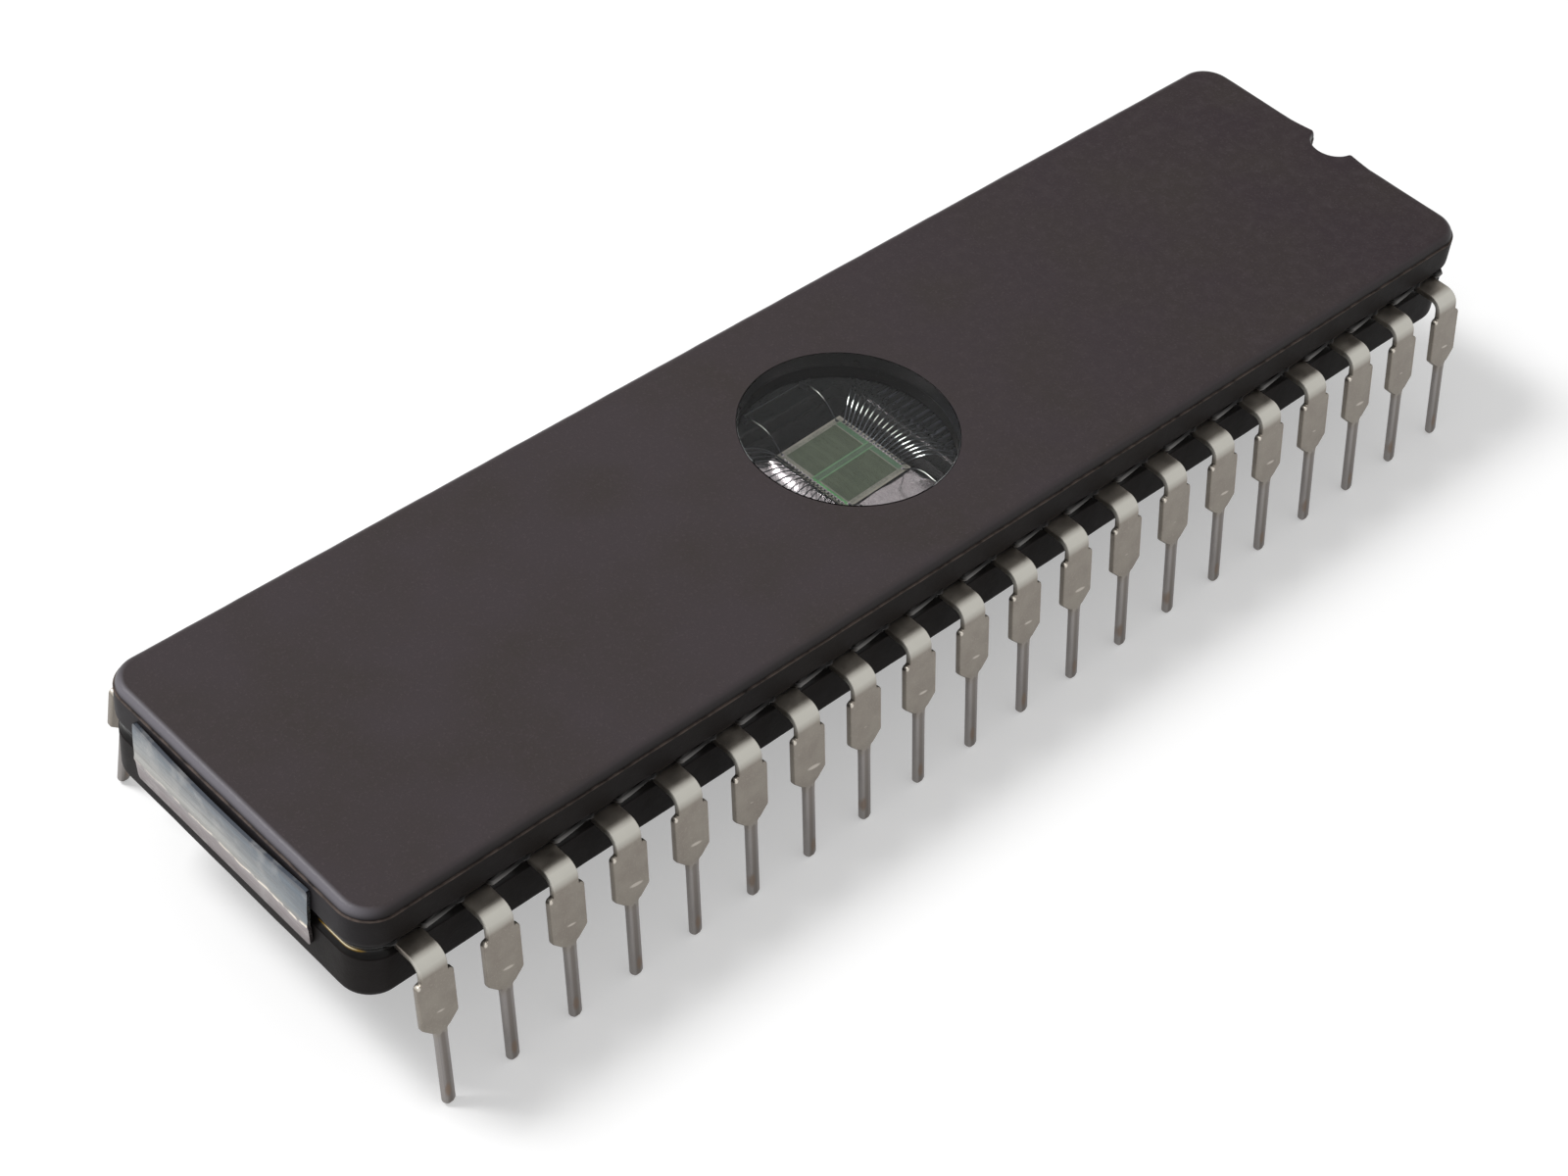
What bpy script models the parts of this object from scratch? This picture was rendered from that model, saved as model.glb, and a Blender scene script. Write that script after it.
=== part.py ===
# A windowed ceramic memory chip: 40 leads in two rows, a round quartz window over the die.
# Every size below is in millimetres, and MILLIMETRE turns it into Blender's metres.
# Origin: under the middle of the body, on the plane of the lead tips. +X runs to the notched
# end, +Z up. The two rows of leads stand along -Y and +Y.
import math

import bmesh
import bpy
from mathutils import Matrix, Vector

MILLIMETRE = 0.001

# Rows of leads, and each leg from its bend down to the tip
LEADS_PER_ROW = 20
PITCH = 2.54
LEAD_THICKNESS = 0.25
LEAD_REACH = 0.933
SPLAY_DEGREES = 8.7
BEND_RADIUS = 0.42
NECK_WIDTH = 1.0
SHOULDER_DROP = 0.34
SHOULDER_SLOPE = 0.05
BLADE_WIDTH = 1.4
PIN_LENGTH = 3.6
PIN_WIDTH = 0.46
PIN_FLARE = 0.11
TIP_WIDTH = 0.22
TIP_TAPER = 0.13

# Ceramic body, its layers from the underside up, then its plan and edges
STANDOFF = 0.32
BASE_THICKNESS = 1.88
SEAL_BELOW_LEADS = 0.13
SEAL_ABOVE_LEADS = 0.15
LID_THICKNESS = 1.63
END_MARGIN = 1.77
BODY_WIDTH = 13.03
CORNER_RADIUS = 1.2
BASE_INSET = 0.07
BASE_EDGE = 0.35
LID_LOWER_EDGE = 0.3
LEDGE_WIDTH = 0.06
SHOULDER_RUN = 0.3
SHOULDER_RISE = 0.32
NOTCH_RADIUS = 0.8
SEAL_INSET = 0.1
SEAL_HOLLOW = 0.09

# Window
WINDOW_RADIUS = 3.83
WINDOW_THICKNESS = 1.1
WINDOW_BEVEL = 0.05

# Cavity for the die, and the shelf round it where the fingers lie bare
CAVITY_LENGTH = 5.7
CAVITY_WIDTH = 6.2
CAVITY_DEPTH = 0.55
CAVITY_CORNER = 0.5
END_SHELF = 1.35
SIDE_SHELF = 0.6
SHELF_RISE = 0.04

# Inner fingers, from the seal's edge to the cavity
FINGER_WIDTH = 0.13
FINGER_PITCH = 0.33
FINGER_SETBACK = 0.2
FAN_MARGIN = 0.2
COLUMN_WIDTH = 0.34
COLUMN_LENGTH = 1.165
COLUMN_STEP = 0.25
CORNER_FINGER_X = 1.45
CORNER_SETBACK = 0.25

# Die, and the layer that holds it
PAD_MARGIN = 0.12
PAD_THICKNESS = 0.04
DIE_LENGTH = 3.2
DIE_WIDTH = 3.4
DIE_THICKNESS = 0.36
DIE_X = 0.1
DIE_Y = 0.15
DIE_TURN_DEGREES = 2.0
BOND_MARGIN = 0.13
BOND_END = 0.25

# Bond wires
WIRE_DIAMETER = 0.045
WIRE_RISE = 0.2
WIRE_START = 0.2
WIRE_FOOT = 0.12

# End plate
PLATE_WIDTH = 8.6
PLATE_HEIGHT = 2.55
PLATE_THICKNESS = 0.12
PLATE_DROP = 0.19
PLATE_OFFSET_Y = 0.2
PLATE_BOW = 0.13
PLATE_BULGE = 0.05
PLATE_CORNER = 0.12

# Thin clearance between pieces that touch on the real chip, and how far a cutter overshoots
CLEARANCE = 0.02
OVERSHOOT = 1.0

CORNER_STEPS = 5
EDGE_STEPS = 3
ROUND_STEPS = 64
BEND_STEPS = 4
SEAL_STEPS = 4
WIRE_SIDES = 5
WIRE_STEPS = 6
PLATE_STEPS = 10
PLATE_LEVELS = 4

# Heights and lengths that follow from the sizes above
LEADS_PER_QUARTER = LEADS_PER_ROW // 2
BODY_LENGTH = (2 * LEADS_PER_QUARTER - 1) * PITCH + 2 * END_MARGIN
ROOT_Y = BODY_WIDTH / 2 - SEAL_INSET
LEG_Y = BODY_WIDTH / 2 + LEAD_REACH
BASE_BOTTOM = PIN_LENGTH + STANDOFF
BASE_TOP = BASE_BOTTOM + BASE_THICKNESS
LEAD_UNDERSIDE = BASE_TOP + SEAL_BELOW_LEADS
LEAD_LEVEL = LEAD_UNDERSIDE + LEAD_THICKNESS / 2
LEAD_TOP = LEAD_UNDERSIDE + LEAD_THICKNESS
LID_BOTTOM = LEAD_TOP + SEAL_ABOVE_LEADS
LID_TOP = LID_BOTTOM + LID_THICKNESS
LEDGE_HEIGHT = LID_TOP - SHOULDER_RISE
CAVITY_FLOOR = BASE_TOP - CAVITY_DEPTH
DIE_TOP = CAVITY_FLOOR + CLEARANCE + PAD_THICKNESS + CLEARANCE + DIE_THICKNESS
SPLAY = math.radians(SPLAY_DEGREES)


def clear_scene():
    for thing in list(bpy.data.objects):
        bpy.data.objects.remove(thing, do_unlink=True)


def material(name, colour, roughness, metallic=0.0, transmission=0.0, ior=1.5):
    made = bpy.data.materials.new(name)
    made.use_nodes = True
    shader = made.node_tree.nodes["Principled BSDF"]
    shader.inputs["Base Color"].default_value = (*colour, 1.0)
    shader.inputs["Roughness"].default_value = roughness
    shader.inputs["Metallic"].default_value = metallic
    shader.inputs["Transmission Weight"].default_value = transmission
    shader.inputs["IOR"].default_value = ior
    made.diffuse_color = (*colour, 1.0)
    return made


def solid(name, points, faces, finish, smooth_degrees=30.0):
    """One closed body from points in millimetres, with its faces turned outwards."""
    mesh = bpy.data.meshes.new(name)
    body = bmesh.new()
    corners = [body.verts.new(Vector(point) * MILLIMETRE) for point in points]
    for face in faces:
        body.faces.new([corners[index] for index in face])
    bmesh.ops.recalc_face_normals(body, faces=body.faces)
    body.to_mesh(mesh)
    body.free()
    mesh.materials.append(finish)
    mesh.shade_smooth()
    mesh.set_sharp_from_angle(angle=math.radians(smooth_degrees))
    made = bpy.data.objects.new(name, mesh)
    bpy.context.scene.collection.objects.link(made)
    return made


def skin(rings, closed=False):
    """Points and faces of a loft through rings of equal length, capped unless closed."""
    size = len(rings[0])
    points = [point for ring in rings for point in ring]
    faces = []
    spans = len(rings) if closed else len(rings) - 1
    for span in range(spans):
        low = span * size
        high = (span + 1) % len(rings) * size
        for index in range(size):
            after = (index + 1) % size
            faces.append((low + index, low + after, high + after, high + index))
    if not closed:
        faces.append(tuple(range(size)))
        faces.append(tuple(range(len(points) - size, len(points))))
    return points, faces


def arc(centre_x, centre_y, radius, start, end, steps):
    """Points on an arc, its angles in degrees."""
    points = []
    for step in range(steps + 1):
        angle = math.radians(start + (end - start) * step / steps)
        points.append((centre_x + radius * math.cos(angle), centre_y + radius * math.sin(angle)))
    return points


def outline(length, width, radius, inset=0.0, notch=0.0):
    """A rectangle with round corners, set in by inset, with a half-round notch in its +X end."""
    half_x = length / 2 - inset
    half_y = width / 2 - inset
    corner = radius - inset
    points = arc(half_x - corner, half_y - corner, corner, 0, 90, CORNER_STEPS)
    points += arc(corner - half_x, half_y - corner, corner, 90, 180, CORNER_STEPS)
    points += arc(corner - half_x, corner - half_y, corner, 180, 270, CORNER_STEPS)
    points += arc(half_x - corner, corner - half_y, corner, 270, 360, CORNER_STEPS)
    if notch:
        reach = notch + inset
        lean = math.degrees(math.asin(inset / reach))
        points += arc(length / 2, 0.0, reach, 270 - lean, 90 + lean, 2 * CORNER_STEPS)
    return points


def at_height(points, height):
    return [(x, y, height) for x, y in points]


def prism(name, points, low, high, finish):
    return solid(name, *skin([at_height(points, low), at_height(points, high)]), finish)


def subtract(piece, cutter):
    """Cuts the cutter out of the piece; the cutter stays in the scene as a hidden guide."""
    cutter.hide_render = True
    cutter.display_type = "WIRE"
    cut = piece.modifiers.new("cut", "BOOLEAN")
    cut.operation = "DIFFERENCE"
    cut.solver = "EXACT"
    cut.object = cutter


def lid(finish):
    """Pressed cap: rounded lower edge, upright wall, a narrow ledge, then a rounded shoulder."""
    def ring(inset, height):
        points = outline(BODY_LENGTH, BODY_WIDTH, CORNER_RADIUS, inset, NOTCH_RADIUS)
        return at_height(points, height)

    rings = []
    for step in range(EDGE_STEPS + 1):
        angle = math.pi / 2 * step / EDGE_STEPS
        inset = LID_LOWER_EDGE * (1 - math.sin(angle))
        rings.append(ring(inset, LID_BOTTOM + LID_LOWER_EDGE * (1 - math.cos(angle))))
    rings.append(ring(0.0, LEDGE_HEIGHT))
    for step in range(EDGE_STEPS + 2):
        angle = math.pi / 2 * step / (EDGE_STEPS + 1)
        inset = LEDGE_WIDTH + SHOULDER_RUN * (1 - math.cos(angle))
        rings.append(ring(inset, LEDGE_HEIGHT + (LID_TOP - LEDGE_HEIGHT) * math.sin(angle)))
    cap = solid("lid", *skin(rings), finish)
    hole = arc(0.0, 0.0, WINDOW_RADIUS, 0, 360, ROUND_STEPS)[:-1]
    low = LID_BOTTOM - OVERSHOOT
    subtract(cap, prism("window_hole", hole, low, LID_TOP + OVERSHOOT, finish))
    return cap


def window(finish):
    """Quartz disc, level with the top of the lid, with a fine bevel round both faces."""
    low = LID_TOP - WINDOW_THICKNESS
    profile = [(WINDOW_BEVEL, low), (0.0, low + WINDOW_BEVEL)]
    profile += [(0.0, LID_TOP - WINDOW_BEVEL), (WINDOW_BEVEL, LID_TOP)]
    rings = []
    for inset, height in profile:
        radius = WINDOW_RADIUS - CLEARANCE - inset
        rings.append(at_height(arc(0.0, 0.0, radius, 0, 360, ROUND_STEPS)[:-1], height))
    return solid("window", *skin(rings), finish)


def base(finish):
    """Lower half of the body, with a large radius under its edge and the cavity for the die."""
    rings = []
    for step in range(EDGE_STEPS + 2):
        angle = math.pi / 2 * step / (EDGE_STEPS + 1)
        inset = BASE_INSET + BASE_EDGE * (1 - math.sin(angle))
        points = outline(BODY_LENGTH, BODY_WIDTH, CORNER_RADIUS, inset)
        rings.append(at_height(points, BASE_BOTTOM + BASE_EDGE * (1 - math.cos(angle))))
    points = outline(BODY_LENGTH, BODY_WIDTH, CORNER_RADIUS, BASE_INSET)
    rings.append(at_height(points, BASE_TOP))
    block = solid("base", *skin(rings), finish)
    pocket = outline(CAVITY_LENGTH, CAVITY_WIDTH, CAVITY_CORNER)
    subtract(block, prism("die_cavity", pocket, CAVITY_FLOOR, BASE_TOP + OVERSHOOT, finish))
    return block


def seal_glass(finish, channels):
    """Glass frame between base and lid: hollowed outer edge, a step inside, lead channels."""
    low = BASE_TOP + CLEARANCE
    high = LID_BOTTOM - CLEARANCE
    rings = []
    for step in range(SEAL_STEPS + 1):
        share = step / SEAL_STEPS
        inset = SEAL_INSET + SEAL_HOLLOW * math.sin(math.pi * share)
        points = outline(BODY_LENGTH, BODY_WIDTH, CORNER_RADIUS, inset)
        rings.append(at_height(points, low + (high - low) * share))
    shelf = LEAD_UNDERSIDE + SHELF_RISE
    open_length = CAVITY_LENGTH + 2 * END_SHELF
    wide = outline(open_length, CAVITY_WIDTH + 2 * SIDE_SHELF, CAVITY_CORNER)
    narrow = outline(CAVITY_LENGTH, CAVITY_WIDTH, CAVITY_CORNER)
    rings.append(at_height(wide, high))
    rings.append(at_height(wide, shelf))
    rings.append(at_height(narrow, shelf))
    rings.append(at_height(narrow, low))
    frame = solid("seal_glass", *skin(rings, closed=True), finish)
    points = []
    faces = []
    for some_points, some_faces in channels:
        start = len(points)
        points += some_points
        faces += [tuple(start + index for index in face) for face in some_faces]
    subtract(frame, solid("lead_channels", points, faces, finish))
    return frame


def die_attach(finish):
    """Silver-glass layer that covers the cavity floor and holds the die."""
    points = outline(CAVITY_LENGTH, CAVITY_WIDTH, CAVITY_CORNER, PAD_MARGIN)
    low = CAVITY_FLOOR + CLEARANCE
    return prism("die_attach", points, low, low + PAD_THICKNESS, finish)


def die_place(x, y):
    """Turns a point of the die's own plan into its place in the cavity."""
    turned = Matrix.Rotation(math.radians(DIE_TURN_DEGREES), 2) @ Vector((x, y))
    return turned.x + DIE_X, turned.y + DIE_Y


def die(finish):
    half_x = DIE_LENGTH / 2
    half_y = DIE_WIDTH / 2
    corners = [(half_x, half_y), (-half_x, half_y), (-half_x, -half_y), (half_x, -half_y)]
    points = [die_place(x, y) for x, y in corners]
    return prism("die", points, DIE_TOP - DIE_THICKNESS, DIE_TOP, finish)


def finger_stations(order):
    """Plan of a finger in the +X, -Y quarter: its points (x, y) and half widths.

    A row's leads are counted from the middle outwards. The first goes straight to the side of
    the cavity. The others run along X from their tips, fan out, and turn down to their roots.
    """
    lead_x = PITCH * (order + 0.5)
    tip_half = FINGER_WIDTH / 2
    column_y = ROOT_Y - COLUMN_LENGTH - COLUMN_STEP * order
    column = ((lead_x, -column_y), COLUMN_WIDTH / 2)
    root = ((lead_x, -ROOT_Y), NECK_WIDTH / 2)
    if order == 0:
        return [((CORNER_FINGER_X, -CAVITY_WIDTH / 2 - CORNER_SETBACK), tip_half), column, root]
    tip_x = CAVITY_LENGTH / 2 + FINGER_SETBACK
    tip_y = FINGER_PITCH * (LEADS_PER_QUARTER - order - 0.5)
    fan_x = min(CAVITY_LENGTH / 2 + END_SHELF + FAN_MARGIN, lead_x - COLUMN_WIDTH)
    stations = [((tip_x, -tip_y), tip_half)]
    if fan_x > tip_x + FINGER_SETBACK:
        stations.append(((fan_x, -tip_y), tip_half))
    return stations + [column, root]


def finger_rings(stations, half_height, grow=0.0):
    """Four-cornered rings along a finger, mitred where it turns."""
    places = [Vector(place) for place, half in stations]
    rings = []
    for index, (place, half) in enumerate(stations):
        before = places[max(index - 1, 0)]
        after = places[min(index + 1, len(places) - 1)]
        here = places[index]
        into = (here - before) if index else (after - here)
        onward = (after - here) if index < len(places) - 1 else (here - before)
        into.normalize()
        onward.normalize()
        side = Vector((-into.y - onward.y, into.x + onward.x)).normalized()
        stretch = (half + grow) / side.dot(Vector((-onward.y, onward.x)))
        left = here + side * stretch
        right = here - side * stretch
        high = LEAD_LEVEL + half_height
        low = LEAD_LEVEL - half_height
        rings.append([(left.x, left.y, high), (right.x, right.y, high),
                      (right.x, right.y, low), (left.x, left.y, low)])
    return rings


def leg_rings(lead_x):
    """Rings of the bend, the blade and the pin, down to the tip on the floor plane.

    The centre line is a level run, an arc, then a straight leg that leans out by the splay. Each
    ring has the lead's half width across X and half its thickness across the centre line.
    """
    half = LEAD_THICKNESS / 2
    turn = math.pi / 2 - SPLAY
    tangent = BEND_RADIUS * math.tan(turn / 2)
    neck = NECK_WIDTH / 2
    sections = []
    for step in range(BEND_STEPS + 1):
        angle = turn * step / BEND_STEPS
        y = LEG_Y - tangent + BEND_RADIUS * math.sin(angle)
        z = LEAD_LEVEL - BEND_RADIUS * (1 - math.cos(angle))
        sections.append((y, z, angle, neck))
    blade = BLADE_WIDTH / 2
    pin = PIN_WIDTH / 2
    shoulder = LEAD_LEVEL - BEND_RADIUS * (1 - math.cos(turn)) - SHOULDER_DROP
    chamfer_low = PIN_LENGTH - (blade - pin - PIN_FLARE)
    foot = half * math.sin(SPLAY)
    widths = [(shoulder + SHOULDER_SLOPE, neck), (shoulder, blade)]
    widths += [(PIN_LENGTH, blade), (chamfer_low, pin + PIN_FLARE)]
    widths += [(chamfer_low - PIN_FLARE / 2, pin)]
    widths += [(foot + TIP_TAPER, pin), (foot, TIP_WIDTH / 2)]
    for z, width in widths:
        y = LEG_Y + (LEAD_LEVEL - z) * math.tan(SPLAY)
        sections.append((y, z, turn, width))
    rings = []
    for y, z, angle, width in sections:
        out = half * math.sin(angle)
        up = half * math.cos(angle)
        rings.append([(lead_x + width, -y - out, z + up), (lead_x - width, -y - out, z + up),
                      (lead_x - width, -y + out, z - up), (lead_x + width, -y + out, z - up)])
    return rings


def mirrored(points, side_x, side_y):
    return [(side_x * x, side_y * y, z) for x, y, z in points]


def bond_pad(order):
    """The die's bond pad for a lead, in the die's own plan, +X and -Y quarter."""
    if order == 0:
        return DIE_LENGTH / 2 - 2 * BOND_MARGIN, BOND_MARGIN - DIE_WIDTH / 2
    in_line = LEADS_PER_QUARTER - 1
    share = (in_line - order + 0.5) / in_line
    return DIE_LENGTH / 2 - BOND_MARGIN, (BOND_END - DIE_WIDTH / 2) * share


def wire_rings(start, end):
    """A thin round wire that leaves the finger, arches over and lies down on its pad.

    Its plan is straight. Its height is the line between its ends, plus the rise times
    4 t (1 - t), and the last stretch is the flat foot on the pad.
    """
    radius = WIRE_DIAMETER / 2
    across = end - start
    plan = Vector((across.x, across.y, 0.0)).normalized()
    side = Vector((-plan.y, plan.x, 0.0))
    path = []
    for step in range(WIRE_STEPS):
        t = step / (WIRE_STEPS - 1)
        place = start.lerp(end - plan * WIRE_FOOT, t)
        place.z += WIRE_RISE * 4 * t * (1 - t)
        path.append(place)
    path.append(end)
    rings = []
    for index, place in enumerate(path):
        before = path[max(index - 1, 0)]
        after = path[min(index + 1, len(path) - 1)]
        along = (after - before).normalized()
        up = side.cross(along)
        ring = []
        for corner in range(WIRE_SIDES):
            angle = 2 * math.pi * (corner + 0.5) / WIRE_SIDES
            offset = side * math.cos(angle) + up * math.sin(angle)
            ring.append(tuple(place + offset * radius))
        rings.append(ring)
    return rings


def bond_wire(name, order, side_x, side_y, finish):
    """The wire of one lead, from the top of its finger to its pad on the die."""
    stations = finger_stations(order)
    tip = Vector(stations[0][0])
    inward = (Vector(stations[1][0]) - tip).normalized()
    root = tip + inward * WIRE_START
    start = Vector((side_x * root.x, side_y * -root.y, LEAD_TOP - WIRE_DIAMETER / 2))
    pad_x, pad_y = bond_pad(order)
    place = die_place(side_x * pad_x, side_y * -pad_y)
    end = Vector((*place, DIE_TOP + CLEARANCE + WIRE_DIAMETER / 2))
    return solid(name, *skin(wire_rings(start, end)), finish)


def pin_number(order, side_x, side_y):
    """Counted from the notched end, down the +Y row and back up the -Y row."""
    from_notch = LEADS_PER_QUARTER - order if side_x > 0 else LEADS_PER_QUARTER + 1 + order
    if side_y > 0:
        return from_notch
    return 4 * LEADS_PER_QUARTER + 1 - from_notch


def lead(order, side_x, side_y, finish):
    """One sheet metal lead: inner finger, bend, blade and pin, with its bond wire fused on."""
    rings = finger_rings(finger_stations(order), LEAD_THICKNESS / 2)
    rings += leg_rings(PITCH * (order + 0.5))
    rings = [mirrored(ring, side_x, -side_y) for ring in rings]
    name = "lead_%02d" % pin_number(order, side_x, side_y)
    made = solid(name, *skin(rings), finish)
    wire = bond_wire(name + "_wire", order, side_x, side_y, finish)
    wire.hide_render = True
    wire.display_type = "WIRE"
    join = made.modifiers.new("wire", "BOOLEAN")
    join.operation = "UNION"
    join.solver = "EXACT"
    join.object = wire
    return made


def channel(order, side_x, side_y):
    """The room that a lead takes in the seal, from its tip to past the seal's outer edge."""
    stations = finger_stations(order)
    lead_x = PITCH * (order + 0.5)
    tip, first_half = stations[0]
    inward = (Vector(stations[1][0]) - Vector(tip)).normalized()
    early = Vector(tip) - inward * CLEARANCE
    stations[0] = ((early.x, early.y), first_half)
    stations.append(((lead_x, -BODY_WIDTH / 2), NECK_WIDTH / 2))
    rings = finger_rings(stations, LEAD_THICKNESS / 2 + CLEARANCE, CLEARANCE)
    return skin([mirrored(ring, side_x, -side_y) for ring in rings])


def end_plate(finish):
    """Thin metal plate upright on the plain end, bowed out a little along its top edge.

    Its place across X is a straight lean from the base wall to the lid wall, plus a low bulge
    at half height, plus the bow, which grows with the square of the height.
    """
    low_x = BODY_LENGTH / 2 - BASE_INSET + CLEARANCE
    high_x = BODY_LENGTH / 2 + CLEARANCE
    bottom = LEDGE_HEIGHT - PLATE_DROP - PLATE_HEIGHT
    rows = []
    for column in range(PLATE_STEPS + 1):
        across = 2 * column / PLATE_STEPS - 1
        trim = PLATE_CORNER if abs(across) == 1 else 0.0
        row = []
        for level in range(PLATE_LEVELS + 1):
            rise = level / PLATE_LEVELS
            z = bottom + trim + (PLATE_HEIGHT - 2 * trim) * rise
            bow = PLATE_BOW * rise ** 2 * (1 - across ** 2)
            x = low_x + (high_x - low_x) * rise + PLATE_BULGE * math.sin(math.pi * rise) + bow
            y = PLATE_OFFSET_Y + across * PLATE_WIDTH / 2
            row.append((x, y, z))
        rows.append(row)
    rings = []
    for row in rows:
        inner = [(-x, y, z) for x, y, z in row]
        outer = [(-x - PLATE_THICKNESS, y, z) for x, y, z in reversed(row)]
        rings.append(inner + outer)
    return solid("end_plate", *skin(rings), finish)


def build():
    clear_scene()
    ceramic = material("ceramic", (0.055, 0.045, 0.046), 0.6)
    quartz = material("quartz", (0.9, 0.93, 0.95), 0.03, transmission=1.0, ior=1.46)
    glass = material("sealing_glass", (0.03, 0.03, 0.032), 0.2)
    tinned = material("tinned_alloy", (0.52, 0.5, 0.46), 0.38, metallic=1.0)
    silicon = material("silicon", (0.2, 0.22, 0.14), 0.25, metallic=0.4)
    silver = material("silver_glass", (0.62, 0.61, 0.6), 0.3, metallic=1.0)

    lid(ceramic)
    window(quartz)
    base(ceramic)
    die_attach(silver)
    die(silicon)
    end_plate(tinned)
    channels = []
    for side_y in (1, -1):
        for side_x in (1, -1):
            for order in range(LEADS_PER_QUARTER):
                lead(order, side_x, side_y, tinned)
                channels.append(channel(order, side_x, side_y))
    seal_glass(glass, channels)


build()
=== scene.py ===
"""Looks of a windowed ceramic memory chip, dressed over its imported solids.

Every new piece is a surface worked out with numpy: rings of points round the body, a section
carried along each lead and wire, or a sheet over a grid. Sizes are in millimetres until a mesh
is made. +X runs to the notched end, +Z up, and the lead tips stand on the floor at zero.
"""
import math

import bmesh
import bpy
import numpy as np
from mathutils import Matrix, Vector


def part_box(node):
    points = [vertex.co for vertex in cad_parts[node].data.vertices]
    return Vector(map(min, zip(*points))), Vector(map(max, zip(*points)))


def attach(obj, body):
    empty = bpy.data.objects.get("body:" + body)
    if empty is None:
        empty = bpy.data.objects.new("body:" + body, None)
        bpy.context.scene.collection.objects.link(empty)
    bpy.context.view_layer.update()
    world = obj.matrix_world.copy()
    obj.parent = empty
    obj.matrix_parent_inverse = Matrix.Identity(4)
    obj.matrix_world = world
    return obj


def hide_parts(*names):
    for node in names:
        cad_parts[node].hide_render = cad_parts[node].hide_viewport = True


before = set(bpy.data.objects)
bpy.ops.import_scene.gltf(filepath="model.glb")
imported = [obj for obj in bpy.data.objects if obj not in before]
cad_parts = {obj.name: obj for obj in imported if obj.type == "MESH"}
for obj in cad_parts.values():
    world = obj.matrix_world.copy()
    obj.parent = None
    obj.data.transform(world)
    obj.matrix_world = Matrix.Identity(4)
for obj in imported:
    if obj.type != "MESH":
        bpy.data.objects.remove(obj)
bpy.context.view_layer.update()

MM = 0.001
SHARP_ANGLE = math.radians(35.0)
MERGE_DISTANCE = 1e-4
RANDOM = np.random.default_rng(27)


def node_box(name):
    """A node's lowest and highest corners in millimetres."""
    low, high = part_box(name)
    return np.array(low) / MM, np.array(high) / MM


# Sizes read from the frame
lid_low, lid_high = node_box("lid")
base_low, base_high = node_box("base")
window_low, window_high = node_box("window")
plate_low, plate_high = node_box("end_plate")
pad_low, pad_high = node_box("die_attach")
die_high = node_box("die")[1]

HALF_LENGTH = lid_high[0]
HALF_WIDTH = lid_high[1]
LID_TOP = lid_high[2]
LID_BOTTOM = lid_low[2]
BASE_TOP = base_high[2]
BASE_BOTTOM = base_low[2]
WINDOW_RADIUS = window_high[0]
WINDOW_BOTTOM = window_low[2]
WINDOW_TOP = window_high[2]
DIE_TOP = die_high[2]
PAD_BOTTOM = pad_low[2]
PAD_TOP = pad_high[2]

# Body edges
CLEARANCE = 0.02
CORNER_RADIUS = 1.2
NOTCH_RADIUS = 0.8
NOTCH_MOUTH = 0.22
NOTCH_REACH = math.sqrt((NOTCH_RADIUS + NOTCH_MOUTH) ** 2 - NOTCH_MOUTH ** 2)
NOTCH_SHOULDER = 0.4
NOTCH_FADE = 0.9
BASE_INSET = 0.07
BASE_EDGE = 0.35
LID_LOWER_EDGE = 0.3
LEDGE_WIDTH = 0.06
LEDGE_EDGE = 0.03
SHOULDER_RISE = 0.32
SHOULDER_RUN = 0.3
FLAT_RIM = 0.04
HOLE_EDGE = 0.015
WAVINESS = 0.003
OUTLINE_STEP = 0.25
EDGE_STEPS = 8
FINE_EDGE_STEPS = 3

# How far the painted highlight along the ledge reaches, and how much painted light the plain end's
# wall takes beside its shoulder
LEDGE_HIGHLIGHT_REACH = 1.5 * LEDGE_EDGE
END_WALL_LIGHT = 0.12

# Window: its bevel, its sides, and how far up or down a face of its dark wall may look
WINDOW_EDGE = 0.015
WINDOW_SIDES = 192
WALL_LEVEL = 0.3

# Cavity, and the shelf round it where the fingers lie bare
CAVITY_X = 2.85
CAVITY_Y = 3.1
CAVITY_CORNER = 0.5
CAVITY_EDGE = 0.04
CAVITY_FLOOR = PAD_BOTTOM - CLEARANCE
END_SHELF = 1.35
SIDE_SHELF = 0.6
SHELF_HEIGHT = 5.97

# The foot of the wall behind the shelf: its rings' heights, and the painted grey glint round one of
# them
SHELF_FOOT = (SHELF_HEIGHT + 0.1, SHELF_HEIGHT + 0.05, SHELF_HEIGHT)
SHELF_GLINT = 0.9
SHELF_GLINT_RING = 2

# Sealing glass: its hollow outer face, which runs on a little behind the lid's lower edge
SEAL_INSET = 0.1
SEAL_HOLLOW = 0.09
SEAL_PAST_LID = 0.1
SEAL_STEP = 0.07
SEAL_LEVELS = 19

# The bead that the glass forms beside each lead. Its places are counted from the lead's middle,
# and a small drop is left at its end.
BEAD_LEVEL = 6.27
BEAD_SPREAD = 0.17
BEAD_LEAST_SPREAD = 0.4
BEAD_REACH = 0.21
BEAD_START = 0.4
BEAD_FULL = BEAD_START + 0.14
BEAD_END = 1.92
DROP_AT = BEAD_END + 0.07
DROP_SPREAD = 0.1
DROP_SHARE = 0.35

# Where the beads may stand: this near a side's wall, and this far short of the row's ends
BEAD_DEPTH = 0.5
BEAD_MARGIN = 0.4

# A painted yellow-white glint in the seam, beside the end plate
SEAM_GLINT_PLACE = (-HALF_LENGTH + 0.05, -5.2)
SEAM_GLINT_REACH = 0.95
SEAM_GLINT_LEVEL = 6.07
SEAM_GLINT_SPREAD = 0.07

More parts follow.
